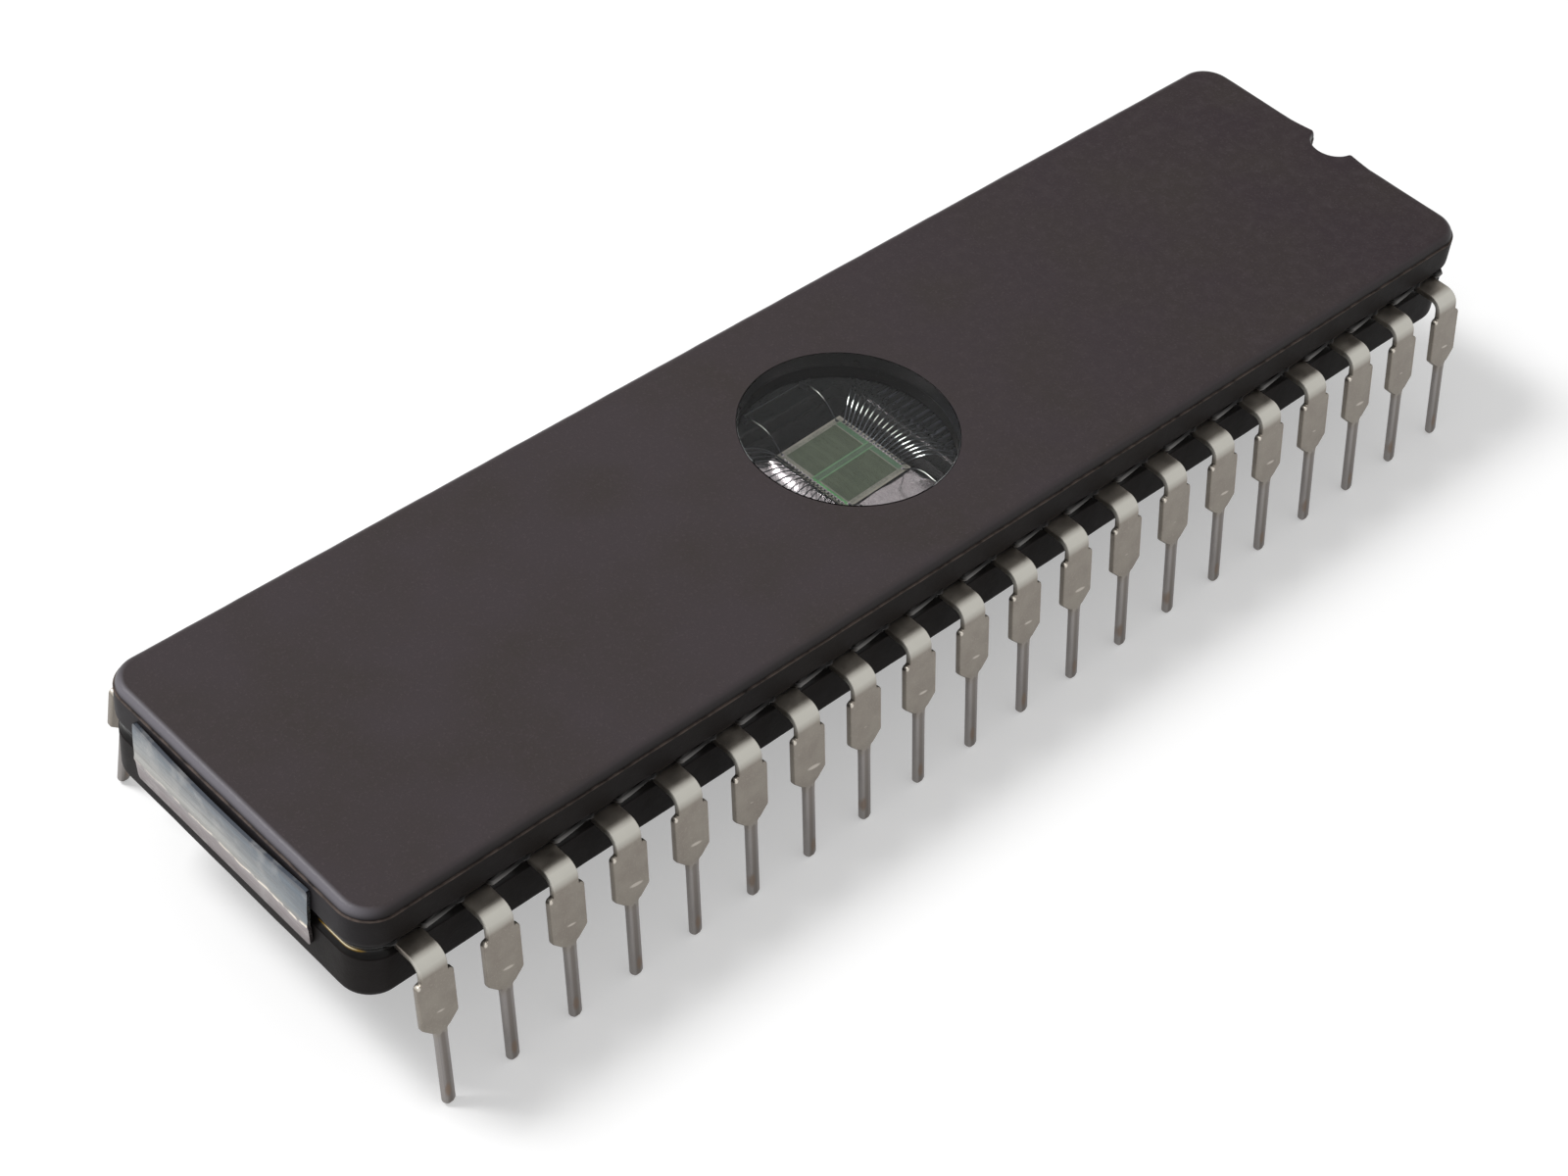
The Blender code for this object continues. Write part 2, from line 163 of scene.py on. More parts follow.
# Die, turned a little in its cavity, and its bond pads
DIE_X = 0.1
DIE_Y = 0.15
DIE_HALF_X = 1.6
DIE_HALF_Y = 1.7
DIE_CORNER = 0.03
DIE_TURN = math.radians(2.0)
BOND_MARGIN = 0.13
BOND_END = 0.25
PAD_HALF = 0.055
PAD_RISE = 0.004

# The layer under the die: how far it stops short of the cavity wall, and its uneven fillet
BED_MARGIN = 0.12
BED_SIDES = 240
BED_RINGS = 14
FILLET_RISE = 0.27
FILLET_SPREAD = 0.5
FILLET_UNEVEN = (0.1, 0.06)

# Leads
PITCH = 2.54
PER_QUARTER = 10
HALF_THICK = 0.125
LEAD_LEVEL = 6.055
ROOT_Y = HALF_WIDTH - SEAL_INSET
LEG_Y = HALF_WIDTH + 0.933
SPLAY = math.radians(8.7)
BEND_TURN = math.pi / 2 - SPLAY
BEND_RADIUS = 0.42
NECK = 0.5
BLADE = 0.7
PIN = 0.23
PIN_FLARE = 0.11
TIP = 0.11
TIP_TAPER = 0.13
PIN_LENGTH = 3.6
SHOULDER_DROP = 0.34
SHOULDER_SLOPE = 0.05
LEG_STEP = 0.1
FACE_STEPS = 4
FACE_HOLLOW = 0.012
FINGER_EDGE = 0.03

# How round the leg's flat outline is at each corner, from its neck to its tip
OUTLINE_ROUNDING = [0.05, 0.16, 0.14, 0.1, 0.1, 0.11, 0.11]

# The leg's centre line: a level run, a bend and a straight leg, measured from its root
LEVEL_RUN = LEG_Y - BEND_RADIUS * math.tan(BEND_TURN / 2) - ROOT_Y
BEND_RUN = BEND_RADIUS * BEND_TURN
BEND_MIDDLE = LEVEL_RUN + BEND_RUN / 2
BEND_END = LEAD_LEVEL - BEND_RADIUS * (1 - math.cos(BEND_TURN))
FOOT = HALF_THICK * math.sin(SPLAY)


def run_at(height):
    """Distance along the leg's centre line where it reaches a height."""
    return LEVEL_RUN + BEND_RUN + (BEND_END - height) / math.cos(SPLAY)


# What lies on that line. The scratch, the blotch and the nick are only coloured; the nick's
# brightness is a painted glint.
SHOULDER = BEND_END - SHOULDER_DROP
CHAMFER_LOW = PIN_LENGTH - (BLADE - PIN - PIN_FLARE)
PIN_START = run_at(CHAMFER_LOW)
LEG_END = run_at(FOOT)
SCRATCH_AT = run_at(3.98)
TIP_BLOTCH_AT = run_at(0.65)
NICK_AT = run_at(SHOULDER - 0.04)
NICK_ACROSS = 0.08 - BLADE

# How far a lead's own seed moves those marks along and across it, and fades its scratch
SEED_ALONG = 0.14
SEED_ACROSS = 0.12
SEED_FADE = 0.6

# How far a lead's section is rounded at its edges: the places along it, and the radius at each
EDGE_PLACES = [0.0, 1.0, PIN_START, PIN_START + 0.4]
EDGE_RADII = [0.05, 0.06, 0.07, 0.1]

# Fingers, and the straight columns that they fan out to, each next to its lead's root
FINGER_HALF = 0.065
FINGER_PITCH = 0.33
FINGER_SETBACK = 0.2
FAN_MARGIN = 0.2
COLUMN_HALF = 0.17
COLUMN_LENGTH = 1.165
COLUMN_STEP = 0.25
CORNER_FINGER_X = 1.45
CORNER_SETBACK = 0.25

# Bond wires: each crests this high over its pad, at this distance from it
WIRE_RADIUS = 0.022
WIRE_CREST = 0.56
WIRE_UNEVEN = 0.025
WIRE_REACH = 1.05
WIRE_START = 0.2
WIRE_STEPS = 30
WIRE_SIDES = 8

# How long a wire's pressed foot is, and how much of its radius it loses and gains there
WIRE_FOOT = 0.09
FOOT_THINNER = 0.5
FOOT_WIDER = 0.7

# Painted glints on the wires: how far their middles lie from the pad, and their half lengths
GLINT_AT_CREST = (1.02, 0.38)
GLINT_ON_RISE = (0.52, 0.12)

# End plate
PLATE_BOTTOM = plate_low[2]
PLATE_HEIGHT = plate_high[2] - plate_low[2]
PLATE_HALF = (plate_high[1] - plate_low[1]) / 2
PLATE_MIDDLE = (plate_high[1] + plate_low[1]) / 2
PLATE_THICKNESS = 0.12
PLATE_BOW = 0.13
PLATE_BULGE = 0.05
PLATE_CORNER = 0.12
PLATE_COLUMNS = 161
PLATE_ROWS = 81
CREASE_RISE = 0.36
CREASE_WIDTH = 0.06
CREASE_DEPTH = 0.035
CREASE_UNEVEN = (0.014, 0.008)

# How strong the painted highlight on the crease is at its middle, and how much less or more at its
# ends
CREASE_GLINT_MIDDLE = 0.65
CREASE_GLINT_ENDS = 0.35

# How far over the crease the painted blue reflection is full
BLUE_REFLECTION_FULL = 0.1

# The photograph's camera, its target in millimetres from the frame's origin
CAMERA_AZIMUTH = math.radians(-48.37)
CAMERA_ELEVATION = math.radians(45.118)
CAMERA_ROLL = math.radians(6.848)
CAMERA_DISTANCE = 108.553
CAMERA_TARGET = (-4.027, -1.53, 4.0)
CAMERA_LENS = 73.78

# Floor, lamp and sky. Sizes and distances are in metres.
FLOOR_HALF = 1.5
FLOOR_LIFT = 0.38
KEY_WAY = (-0.355, 0.466, 0.82)
KEY_DISTANCE = 0.35
KEY_SIZE = 0.1
KEY_POWER = 0.88
SKY_LEVEL = 0.42


# Materials


def linear(code):
    """Linear colour of an sRGB hex value."""
    parts = [int(code[place:place + 2], 16) / 255 for place in (1, 3, 5)]
    return (*[part / 12.92 if part <= 0.04045 else ((part + 0.055) / 1.055) ** 2.4
              for part in parts], 1.0)


def add(tree, kind, inputs, out=0, **settings):
    """Adds a node with its settings and gives one of its outputs.

    Each input is a value, or another node's output to link.
    """
    made = tree.nodes.new("ShaderNode" + kind)
    for name, value in settings.items():
        setattr(made, name, value)
    for key, value in inputs.items():
        if isinstance(value, bpy.types.NodeSocket):
            tree.links.new(value, made.inputs[key])
        else:
            made.inputs[key].default_value = value
    return made.outputs[out] if made.outputs else made


def layered(tree, colour, *layers):
    """A colour with others laid over it.

    A layer is a value, where it starts to show, where it is full, its colour and its cover.
    """
    colour = linear(colour)
    for value, start, full, over, cover in layers:
        share = add(tree, "MapRange", {0: value, 1: start, 2: full, 4: cover})
        colour = add(tree, "Mix", {0: share, 6: colour, 7: linear(over)}, 2, data_type="RGBA")
    return colour


def per_mm(size):
    """Texture scale whose features are about this many millimetres."""
    return 1.0 / (size * MM)


def new_material(name):
    """An empty material, its tree and its object coordinates."""
    made = bpy.data.materials.new(name)
    made.use_nodes = True
    made.node_tree.nodes.clear()
    return made, made.node_tree, add(made.node_tree, "TexCoord", {}, "Object")


def fired_ceramic():
    """Pressed alumina stained dark brown, fired and left bare.

    To the eye the top is matte with dust, a fine even grain and faint brown and grey clouds. It is
    painted lighter than the nearly black walls, as lit from above, and painted shade darkens it
    towards the notched end. The shoulder round it is rubbed smooth and glossier; it carries a
    painted highlight at the plain end, with painted light on the wall below, and a thin painted
    highlight along its lowest edge.
    """
    made, tree, place = new_material("fired_dark_alumina")
    top, ledge_highlight, plain_end_light = (add(tree, "Attribute", {}, "Fac", attribute_name=name)
                       for name in ("top", "ledge_highlight", "plain_end_light"))
    clouds = add(tree, "TexNoise", {"Vector": place, "Scale": per_mm(4.0), "Detail": 3.0})
    mottle = add(tree, "TexNoise", {"Vector": place, "Scale": per_mm(0.5), "Roughness": 0.6})
    grain = add(tree, "TexNoise", {"Vector": place, "Scale": per_mm(0.08), "Roughness": 0.7})
    tint = add(tree, "Math", {0: clouds, 1: top}, operation="MULTIPLY")
    speckle = add(tree, "Math", {0: mottle, 1: top}, operation="MULTIPLY")
    dust = add(tree, "Math", {0: grain, 1: top}, operation="MULTIPLY")
    mottled_ledge_highlight = add(tree, "Math", {0: ledge_highlight, 1: mottle}, operation="MULTIPLY")
    # Painted shade: the top grows darker towards the notched end
    far = add(tree, "SeparateXYZ", {0: place}, 0)
    far = add(tree, "MapRange", {0: far, 1: -5.0 * MM, 2: HALF_LENGTH * MM})
    far = add(tree, "Math", {0: far, 1: top}, operation="MULTIPLY")
    colour = layered(tree, "#191616",
                     (clouds, 0.3, 0.7, "#1e1a18", 0.7),
                     # Painted light: the top is lighter than the walls, as lit from above
                     (top, 0.0, 1.0, "#3f393b", 1.0),
                     (far, 0.0, 1.0, "#322a2d", 1.0),
                     (tint, 0.4, 0.65, "#38332f", 0.5),
                     (speckle, 0.45, 0.75, "#413a3c", 0.55),
                     (dust, 0.55, 0.75, "#4e4648", 0.5),
                     # Painted highlight on the plain end's shoulder, and painted light on its wall
                     (plain_end_light, 0.0, 1.0, "#77747b", 0.9),
                     # Painted highlight along the ledge, broken by the mottle
                     (mottled_ledge_highlight, 0.25, 0.6, "#6b5f59", 0.7))
    below = add(tree, "Math", {0: 1.0, 1: top}, operation="SUBTRACT")
    rubbed = add(tree, "Math", {0: below, 1: top}, operation="MULTIPLY")
    shine = add(tree, "MapRange", {0: rubbed, 1: 0.0, 2: 0.2, 3: 0.06, 4: 0.15})
    dull = add(tree, "MapRange", {0: rubbed, 1: 0.0, 2: 0.2, 3: 0.5, 4: 0.27})
    rough = add(tree, "Math", {0: mottle, 1: 0.12, 2: dull}, operation="MULTIPLY_ADD")
    fine = add(tree, "Bump", {"Height": grain, "Distance": 0.01 * MM, "Strength": 0.6})
    normal = add(tree, "Bump", {"Height": mottle, "Distance": 0.012 * MM, "Strength": 0.5,
                                "Normal": fine})
    shader = add(tree, "BsdfPrincipled", {"Base Color": colour, "Roughness": rough, "IOR": 1.6,
                                          "Specular IOR Level": shine, "Normal": normal})
    add(tree, "OutputMaterial", {"Surface": shader})
    return made


def sealing_glass():
    """Lead glass with dark filler, melted between the two ceramic halves.

    To the eye it is black and glossy. The beads beside the leads and one ring round the shelf's
    rim are painted grey, a painted sheen where they would catch light, and a painted yellow-white
    glint lies in the seam at one corner.
    """
    made, tree, place = new_material("black_sealing_glass")
    bead_and_rim_sheen, seam_glint = (add(tree, "Attribute", {}, "Fac", attribute_name=name)
                   for name in ("bead_and_rim_sheen", "seam_glint"))
    ripple = add(tree, "TexNoise", {"Vector": place, "Scale": per_mm(0.3)})
    pores = add(tree, "TexNoise", {"Vector": place, "Scale": per_mm(0.1)})
    colour = layered(tree, "#151414",
                     (ripple, 0.4, 0.7, "#1c1a19", 1.0),
                     # Painted sheen: grey on the beads and round the shelf's rim
                     (bead_and_rim_sheen, 0.1, 0.7, "#8a8886", 0.95),
                     # Painted yellow-white glint in the seam
                     (seam_glint, 0.2, 0.6, "#a8842c", 1.0),
                     (seam_glint, 0.6, 0.9, "#fff6d8", 1.0))
    rough = add(tree, "MapRange", {0: pores, 1: 0.3, 2: 0.7, 3: 0.12, 4: 0.24})
    normal = add(tree, "Bump", {"Height": ripple, "Distance": 0.012 * MM, "Strength": 0.5})
    shader = add(tree, "BsdfPrincipled", {"Base Color": colour, "Roughness": rough, "IOR": 1.75,
                                          "Specular IOR Level": 0.05, "Normal": normal})
    add(tree, "OutputMaterial", {"Surface": shader})
    return made


def off_spot(tree, plan, centre, half_sizes, turn=0.0):
    """Distance from an oval's centre in a plan, over its half sizes, so that its edge is at one."""
    field = {"Vector": plan, "Location": (*centre, 0.0), "Rotation": (0.0, 0.0, turn),
             "Scale": (*half_sizes, 1.0)}
    field = add(tree, "Mapping", field, vector_type="TEXTURE")
    return add(tree, "VectorMath", {0: field}, 1, operation="LENGTH")


def dipped_solder():
    """Iron-nickel alloy sheet dipped in tin-lead solder after it was bent.

    To the eye it is a warm satin grey with soft clouds. The bend carries a painted highlight, the
    root is browned by the glass and the finger inside is painted dark, as in shade. A short light
    scratch crosses the blade, one shoulder has a nick painted with a bright glint, and the pin has
    a brown blotch near its tip and a darker line of painted shade down the middle.
    """
    made, tree, place = new_material("solder_dipped_alloy")
    along, across, seed = (add(tree, "Attribute", {}, "Fac", attribute_name=name)
                           for name in ("along", "across", "seed"))
    clouds = add(tree, "TexNoise", {"Vector": place, "Scale": per_mm(0.7), "Detail": 3.0})
    blotch = add(tree, "TexNoise", {"Vector": place, "Scale": per_mm(0.3), "Detail": 2.0})
    grain = add(tree, "TexNoise", {"Vector": place, "Scale": per_mm(0.06), "Roughness": 0.6})
    off_bend = add(tree, "Math", {0: along, 1: BEND_MIDDLE}, operation="SUBTRACT")
    off_bend = add(tree, "Math", {0: off_bend}, operation="ABSOLUTE")
    above_pin = add(tree, "Math", {0: PIN_START + 0.2, 1: along}, operation="SUBTRACT")
    above_pin = add(tree, "Math", {0: above_pin, 1: 0.0}, operation="MAXIMUM")
    off_middle = add(tree, "Math", {0: across}, operation="ABSOLUTE")
    off_line = add(tree, "Math", {0: off_middle, 1: above_pin}, operation="ADD")
    lowered = add(tree, "Math", {0: seed, 1: SEED_ALONG, 2: along}, operation="MULTIPLY_ADD")
    shifted = add(tree, "Math", {0: seed, 1: SEED_ACROSS, 2: across}, operation="MULTIPLY_ADD")
    moved = add(tree, "CombineXYZ", {0: lowered, 1: shifted})
    scratch = off_spot(tree, moved, (SCRATCH_AT, 0.05), (0.06, 0.22), math.radians(-8))
    scratch = add(tree, "Math", {0: seed, 1: SEED_FADE, 2: scratch}, operation="MULTIPLY_ADD")
    tip = off_spot(tree, moved, (TIP_BLOTCH_AT, -0.04), (0.35, 0.14))
    still = add(tree, "CombineXYZ", {0: along, 1: across})
    nick = off_spot(tree, still, (NICK_AT, NICK_ACROSS), (0.09, 0.07))
    colour = layered(tree, "#817a72",
                     (clouds, 0.35, 0.7, "#8f8980", 1.0),
                     (grain, 0.55, 0.75, "#9d978e", 0.5),
                     # Painted highlight on the bend
                     (off_bend, 0.4, 0.12, "#bfbdb5", 0.9),
                     (along, PIN_START, PIN_START + 0.4, "#928f90", 0.6),
                     # Painted shade down the pin's middle
                     (off_line, 0.13, 0.05, "#6c655f", 0.7),
                     (tip, 1.0, 0.5, "#7c6a5b", 0.7),
                     (scratch, 0.9, 0.4, "#b9b2a9", 0.9),
                     # Painted glint on the nick
                     (nick, 1.0, 0.5, "#d9d2c7", 0.8),
                     (along, 0.35, 0.05, "#8a8178", 0.6),
                     # Painted shade: the finger inside is dark
                     (along, 0.0, -0.1, "#55525b", 1.0))
    rough = add(tree, "MapRange", {0: clouds, 1: 0.3, 2: 0.7, 3: 0.32, 4: 0.46})
    normal = add(tree, "Bump", {"Height": clouds, "Distance": 0.02 * MM, "Strength": 0.35})
    normal = add(tree, "Bump", {"Height": blotch, "Distance": 0.012 * MM, "Strength": 0.4,
                                "Normal": normal})
    normal = add(tree, "Bump", {"Height": grain, "Distance": 0.003 * MM, "Strength": 0.5,
                                "Normal": normal})
    shader = add(tree, "BsdfPrincipled", {"Base Color": colour, "Roughness": rough,
                                          "Metallic": 1.0, "Normal": normal})
    add(tree, "OutputMaterial", {"Surface": shader})
    return made


def rolled_strip():
    """Thin nickel strip, rolled and creased once along its length.

    Its tones are painted reflections: a cold grey above the crease, bluer and darker towards one
    end and at the top, and a warm one below, darker towards the bottom, with a bright, broken
    painted highlight along the crease. Fine rolling lines run along it.
    """
    made, tree, place = new_material("rolled_nickel_strip")
    rise, crease, above = (add(tree, "Attribute", {}, "Fac", attribute_name=name)
                           for name in ("rise", "crease", "above"))
    drawn = add(tree, "Mapping", {"Vector": place, "Scale": (1.0, 0.04, 1.0)})
    rolling = add(tree, "TexNoise", {"Vector": drawn, "Scale": per_mm(0.06)})
    streaks = add(tree, "TexNoise", {"Vector": drawn, "Scale": per_mm(0.25), "Detail": 3.0})
    clouds = add(tree, "TexNoise", {"Vector": place, "Scale": per_mm(0.8), "Detail": 3.0})
    patches = add(tree, "TexNoise", {"Vector": place, "Scale": per_mm(0.5), "Detail": 4.0})
    patches = add(tree, "MapRange", {0: patches, 1: 0.36, 2: 0.52})
    rubbed = add(tree, "Math", {0: crease, 1: patches}, operation="MULTIPLY")
    # Painted reflections: the bands by height and the blue towards one end; the last layer is a
    # painted highlight along the crease
    colour = layered(tree, "#8a8081",
                     (rise, 0.2, 0.0, "#5c5052", 0.8),
                     (rise, CREASE_RISE - 0.04, CREASE_RISE + 0.04, "#a9a9a5", 1.0),
                     (rise, CREASE_RISE + 0.1, 0.85, "#6b747c", 1.0),
                     (above, 0.0, 0.9, "#65717c", 0.75),
                     (rise, 0.88, 0.98, "#474a52", 0.8),
                     (streaks, 0.45, 0.7, "#6d6a69", 0.5),
                     (clouds, 0.5, 0.75, "#aba9a6", 0.6),
                     (rubbed, 0.15, 0.8, "#f0e6d8", 1.0))
    rough = add(tree, "MapRange", {0: rolling, 1: 0.3, 2: 0.7, 3: 0.24, 4: 0.4})
    normal = add(tree, "Bump", {"Height": rolling, "Distance": 0.005 * MM, "Strength": 0.4})
    normal = add(tree, "Bump", {"Height": clouds, "Distance": 0.04 * MM, "Strength": 0.5,
                                "Normal": normal})
    shader = add(tree, "BsdfPrincipled", {"Base Color": colour, "Roughness": rough,
                                          "Metallic": 1.0, "Normal": normal})
    add(tree, "OutputMaterial", {"Surface": shader})
    return made


def fused_quartz():
    """Fused quartz, ground and polished: clear, so that the die shows and lamps reach it.

    At low angles it mirrors the sky. Its tint takes the faint reflection off it from above, where
    that would only veil the dark cavity.
    """
    made, tree, place = new_material("clear_fused_quartz")
    haze = add(tree, "TexNoise", {"Vector": place, "Scale": per_mm(1.5)})
    rough = add(tree, "MapRange", {0: haze, 1: 0.3, 2: 0.7, 3: 0.0, 4: 0.02})
    glass = add(tree, "BsdfPrincipled", {"Base Color": linear("#f2f6f6"), "Roughness": rough,
                                         "IOR": 1.46, "Specular Tint": linear("#000000"),
                                         "Transmission Weight": 1.0})
    clear = add(tree, "BsdfTransparent", {0: linear("#eef4f4")})
    from_lamp = add(tree, "LightPath", {}, "Is Shadow Ray")
    from_inside = add(tree, "LightPath", {}, "Is Diffuse Ray")
    lets_in = add(tree, "Math", {0: from_lamp, 1: from_inside}, operation="MAXIMUM")
    shader = add(tree, "MixShader", {0: lets_in, 1: glass, 2: clear})
    add(tree, "OutputMaterial", {"Surface": shader})
    return made


def silver_glass():
    """Glass paste filled with silver flakes, fired under the die.

    To the eye it is a mauve-grey mirror, a little clouded, which shows the sky on one side of the
    die and the dark walls on the other.
    """
    made, tree, place = new_material("silver_filled_glass")
    flakes = add(tree, "TexNoise", {"Vector": place, "Scale": per_mm(0.08)})
    waves = add(tree, "TexNoise", {"Vector": place, "Scale": per_mm(0.8)})
    colour = layered(tree, "#9a8e90", (flakes, 0.35, 0.7, "#aa9ea0", 1.0))
    rough = add(tree, "MapRange", {0: flakes, 1: 0.3, 2: 0.7, 3: 0.14, 4: 0.2})
    normal = add(tree, "Bump", {"Height": waves, "Distance": 0.006 * MM, "Strength": 0.4})
    shader = add(tree, "BsdfPrincipled", {"Base Color": colour, "Roughness": rough,
                                          "Metallic": 1.0, "Normal": normal})
    add(tree, "OutputMaterial", {"Surface": shader})
    return made


def aluminium_wire():
    """Drawn aluminium bond wire, painted dark for the dark cavity it mirrors, with painted glints
    where it would catch the lamp.
    """
    made, tree, place = new_material("aluminium_bond_wire")
    drawn = add(tree, "TexNoise", {"Vector": place, "Scale": per_mm(0.1)})
    wire_glint = add(tree, "Attribute", {}, "Fac", attribute_name="wire_glint")
    # Painted dark reflection in the base colour, and painted glints where the wire would catch the
    # lamp
    colour = layered(tree, "#3f3e42",
                     (drawn, 0.3, 0.7, "#4b4a4d", 1.0),
                     (wire_glint, 0.2, 0.6, "#e8e6de", 1.0))
    rough = add(tree, "MapRange", {0: drawn, 1: 0.3, 2: 0.7, 3: 0.26, 4: 0.34})
    shader = add(tree, "BsdfPrincipled", {"Base Color": colour, "Roughness": rough,
                                          "Metallic": 1.0})
    add(tree, "OutputMaterial", {"Surface": shader})
    return made


def outside(tree, plan, centre_x, centre_y, half_x, half_y):
    """How far a point of the die's plan lies outside a rectangle, as a share of its size.

    It is the greater of the distances from the centre, each over its half size, so that it is
    one on the rectangle's edge. Sizes are in millimetres.
    """
    field = {"Vector": plan, "Location": (centre_x * MM, centre_y * MM, 0.0),
             "Scale": (half_x * MM, half_y * MM, 1.0)}
    field = add(tree, "Mapping", field, vector_type="TEXTURE")
    field = add(tree, "VectorMath", {0: field}, operation="ABSOLUTE")
    across = add(tree, "SeparateXYZ", {0: field}, 0)
    up = add(tree, "SeparateXYZ", {0: field}, 1)
    return add(tree, "Math", {0: across, 1: up}, operation="MAXIMUM")


def memory_silicon():
    """Oxide-coated silicon with the memory array in two fields.

    To the eye the fields are olive green with a fine weave of lines, split by a light green
    band of drivers, inside a warm grey frame of circuits. The sawn sides are black, partly the
    dark silicon and partly painted shade.
    """
    made, tree, place = new_material("passivated_memory_silicon")
    own = {"Vector": place, "Location": (DIE_X * MM, DIE_Y * MM, 0.0),
           "Rotation": (0.0, 0.0, DIE_TURN)}
    own = add(tree, "Mapping", own, vector_type="TEXTURE")
    circuits = add(tree, "TexNoise", {"Vector": own, "Scale": per_mm(0.07), "Detail": 1.0})
    clouds = add(tree, "TexNoise", {"Vector": own, "Scale": per_mm(0.5)})
    # Real array lines are far finer: these are as coarse as they need to be to show
    lines = add(tree, "TexWave", {"Vector": own, "Scale": per_mm(1.2)}, 1)
    array = outside(tree, own, -0.06, 0.0, 1.2, 1.47)
    drivers = outside(tree, own, 0.0, 0.0, 1.42, 0.15)
    between = outside(tree, own, 0.0, 0.0, 1.42, 0.09)
    near_edge = outside(tree, own, 1.3, 0.0, 0.1, 1.45)
    far_edge = outside(tree, own, -1.38, -0.75, 0.05, 0.8)
    whole = outside(tree, own, 0.0, 0.0, DIE_HALF_X, DIE_HALF_Y)
    height = add(tree, "SeparateXYZ", {0: place}, 2)
    in_array = add(tree, "MapRange", {0: array, 1: 1.01, 2: 1.0})
    woven = add(tree, "Math", {0: lines, 1: in_array}, operation="MULTIPLY")
    colour = layered(tree, "#82786f",
                     (circuits, 0.4, 0.6, "#92887d", 1.0),
                     (near_edge, 1.06, 1.0, "#5c7259", 1.0),
                     (array, 1.01, 1.0, "#515342", 1.0),
                     (woven, 0.5, 1.0, "#5a5c4a", 0.5),
                     (drivers, 1.03, 1.0, "#6c8c66", 0.9),
                     (between, 1.03, 1.0, "#5d6554", 1.0),
                     (far_edge, 1.05, 1.0, "#5c9a5c", 0.9),
                     (whole, 0.94, 0.975, "#a3958a", 0.9),
                     # The sawn sides: dark silicon, and painted shade
                     (height, (DIE_TOP - 0.01) * MM, (DIE_TOP - 0.03) * MM, "#17171b", 1.0))
    shade = add(tree, "MapRange", {0: clouds, 1: 0.35, 2: 0.65, 3: 0.9, 4: 1.08})
    colour = add(tree, "VectorMath", {0: colour, 3: shade}, operation="SCALE")
    normal = add(tree, "Bump", {"Height": circuits, "Distance": 0.003 * MM, "Strength": 0.4})
    shader = add(tree, "BsdfPrincipled", {"Base Color": colour, "Roughness": 0.3, "IOR": 1.9,
                                          "Specular IOR Level": 0.1, "Normal": normal})
    add(tree, "OutputMaterial", {"Surface": shader})
    return made


# Meshes made of rings of points


def ring_faces(rows, columns, loop, caps):
    """Quads between neighbouring rings, each closed on itself.

    A loop joins the last ring to the first. A cap is one face over an end ring.
    """
    index = np.arange(rows * columns).reshape(rows, columns)
    near = index if loop else index[:-1]
    far = np.roll(index, -1, 0) if loop else index[1:]
    quads = np.stack([near, np.roll(near, -1, 1), np.roll(far, -1, 1), far], -1)
    ends = [index[end].tolist() for end, capped in zip((0, -1), caps) if capped]
    return quads.reshape(-1, 4).tolist(), ends


def make_piece(name, shells, material, slot, *nodes):
    """One object of shells in millimetres, riding on the body and standing for CAD nodes.

    A shell is its rings (rows, columns, 3), whether they loop, which ends are capped, and its
    named values at each point. Doubled points are merged and the faces turned outwards.
    """
    points, faces, values = [], [], {}
    for rings, loop, caps, named in shells:
        rows, columns = rings.shape[:2]
        start = sum(len(part) for part in points)
        quads, ends = ring_faces(rows, columns, loop, caps)
        faces += [[start + corner for corner in face] for face in quads + ends]
        points.append(rings.reshape(-1, 3))
        for key, value in named.items():
            values.setdefault(key, []).append(np.broadcast_to(value, (rows, columns)).ravel())
    mesh = bpy.data.meshes.new(name)
    mesh.from_pydata((np.concatenate(points) * MM).tolist(), [], faces)
    for key, parts in values.items():
        layer = mesh.attributes.new(key, "FLOAT", "POINT")
        layer.data.foreach_set("value", np.concatenate(parts).astype(np.float32))
    edit = bmesh.new()
    edit.from_mesh(mesh)
    bmesh.ops.remove_doubles(edit, verts=edit.verts, dist=MERGE_DISTANCE * MM)
    bmesh.ops.recalc_face_normals(edit, faces=edit.faces)
    edit.to_mesh(mesh)
    edit.free()
    mesh.materials.append(material)
    mesh.shade_smooth()
    mesh.set_sharp_from_angle(angle=SHARP_ANGLE)
    made = bpy.data.objects.new(name, mesh)
    bpy.context.scene.collection.objects.link(made)
    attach(made, "root")
    if nodes:
        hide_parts(*nodes)
    return made


def arc_chain(arcs, spacing, turn_step=7.5):
    """Points and outward normals round a closed line of arcs joined by straight edges.

    Each arc is its centre, radius, and first and last angle in degrees. One that turns clockwise
    is hollow, so its normals point at its centre. Straight edges are cut at the spacing.
    """
    spots, normals = [], []
    for x, y, radius, start, end in arcs:
        steps = max(2, math.ceil(abs(end - start) / turn_step))
        angle = np.radians(np.linspace(start, end, steps + 1))
        way = np.stack([np.cos(angle), np.sin(angle)], -1)
        spots.append(np.array([x, y]) + radius * way)
        normals.append(way * np.sign(end - start))
    line, facing = [], []
    for index, spot in enumerate(spots):
        after = spots[(index + 1) % len(spots)][0]
        count = max(1, math.ceil(np.linalg.norm(after - spot[-1]) / spacing))
        share = np.linspace(0, 1, count + 1)[1:-1, None]
        line += [spot, spot[-1] + (after - spot[-1]) * share]
        facing += [normals[index], np.repeat(normals[index][-1:], len(share), 0)]
    line, facing = np.concatenate(line), np.concatenate(facing)
    fresh = np.linalg.norm(line - np.roll(line, 1, 0), axis=1) > 1e-6
    return line[fresh], facing[fresh]


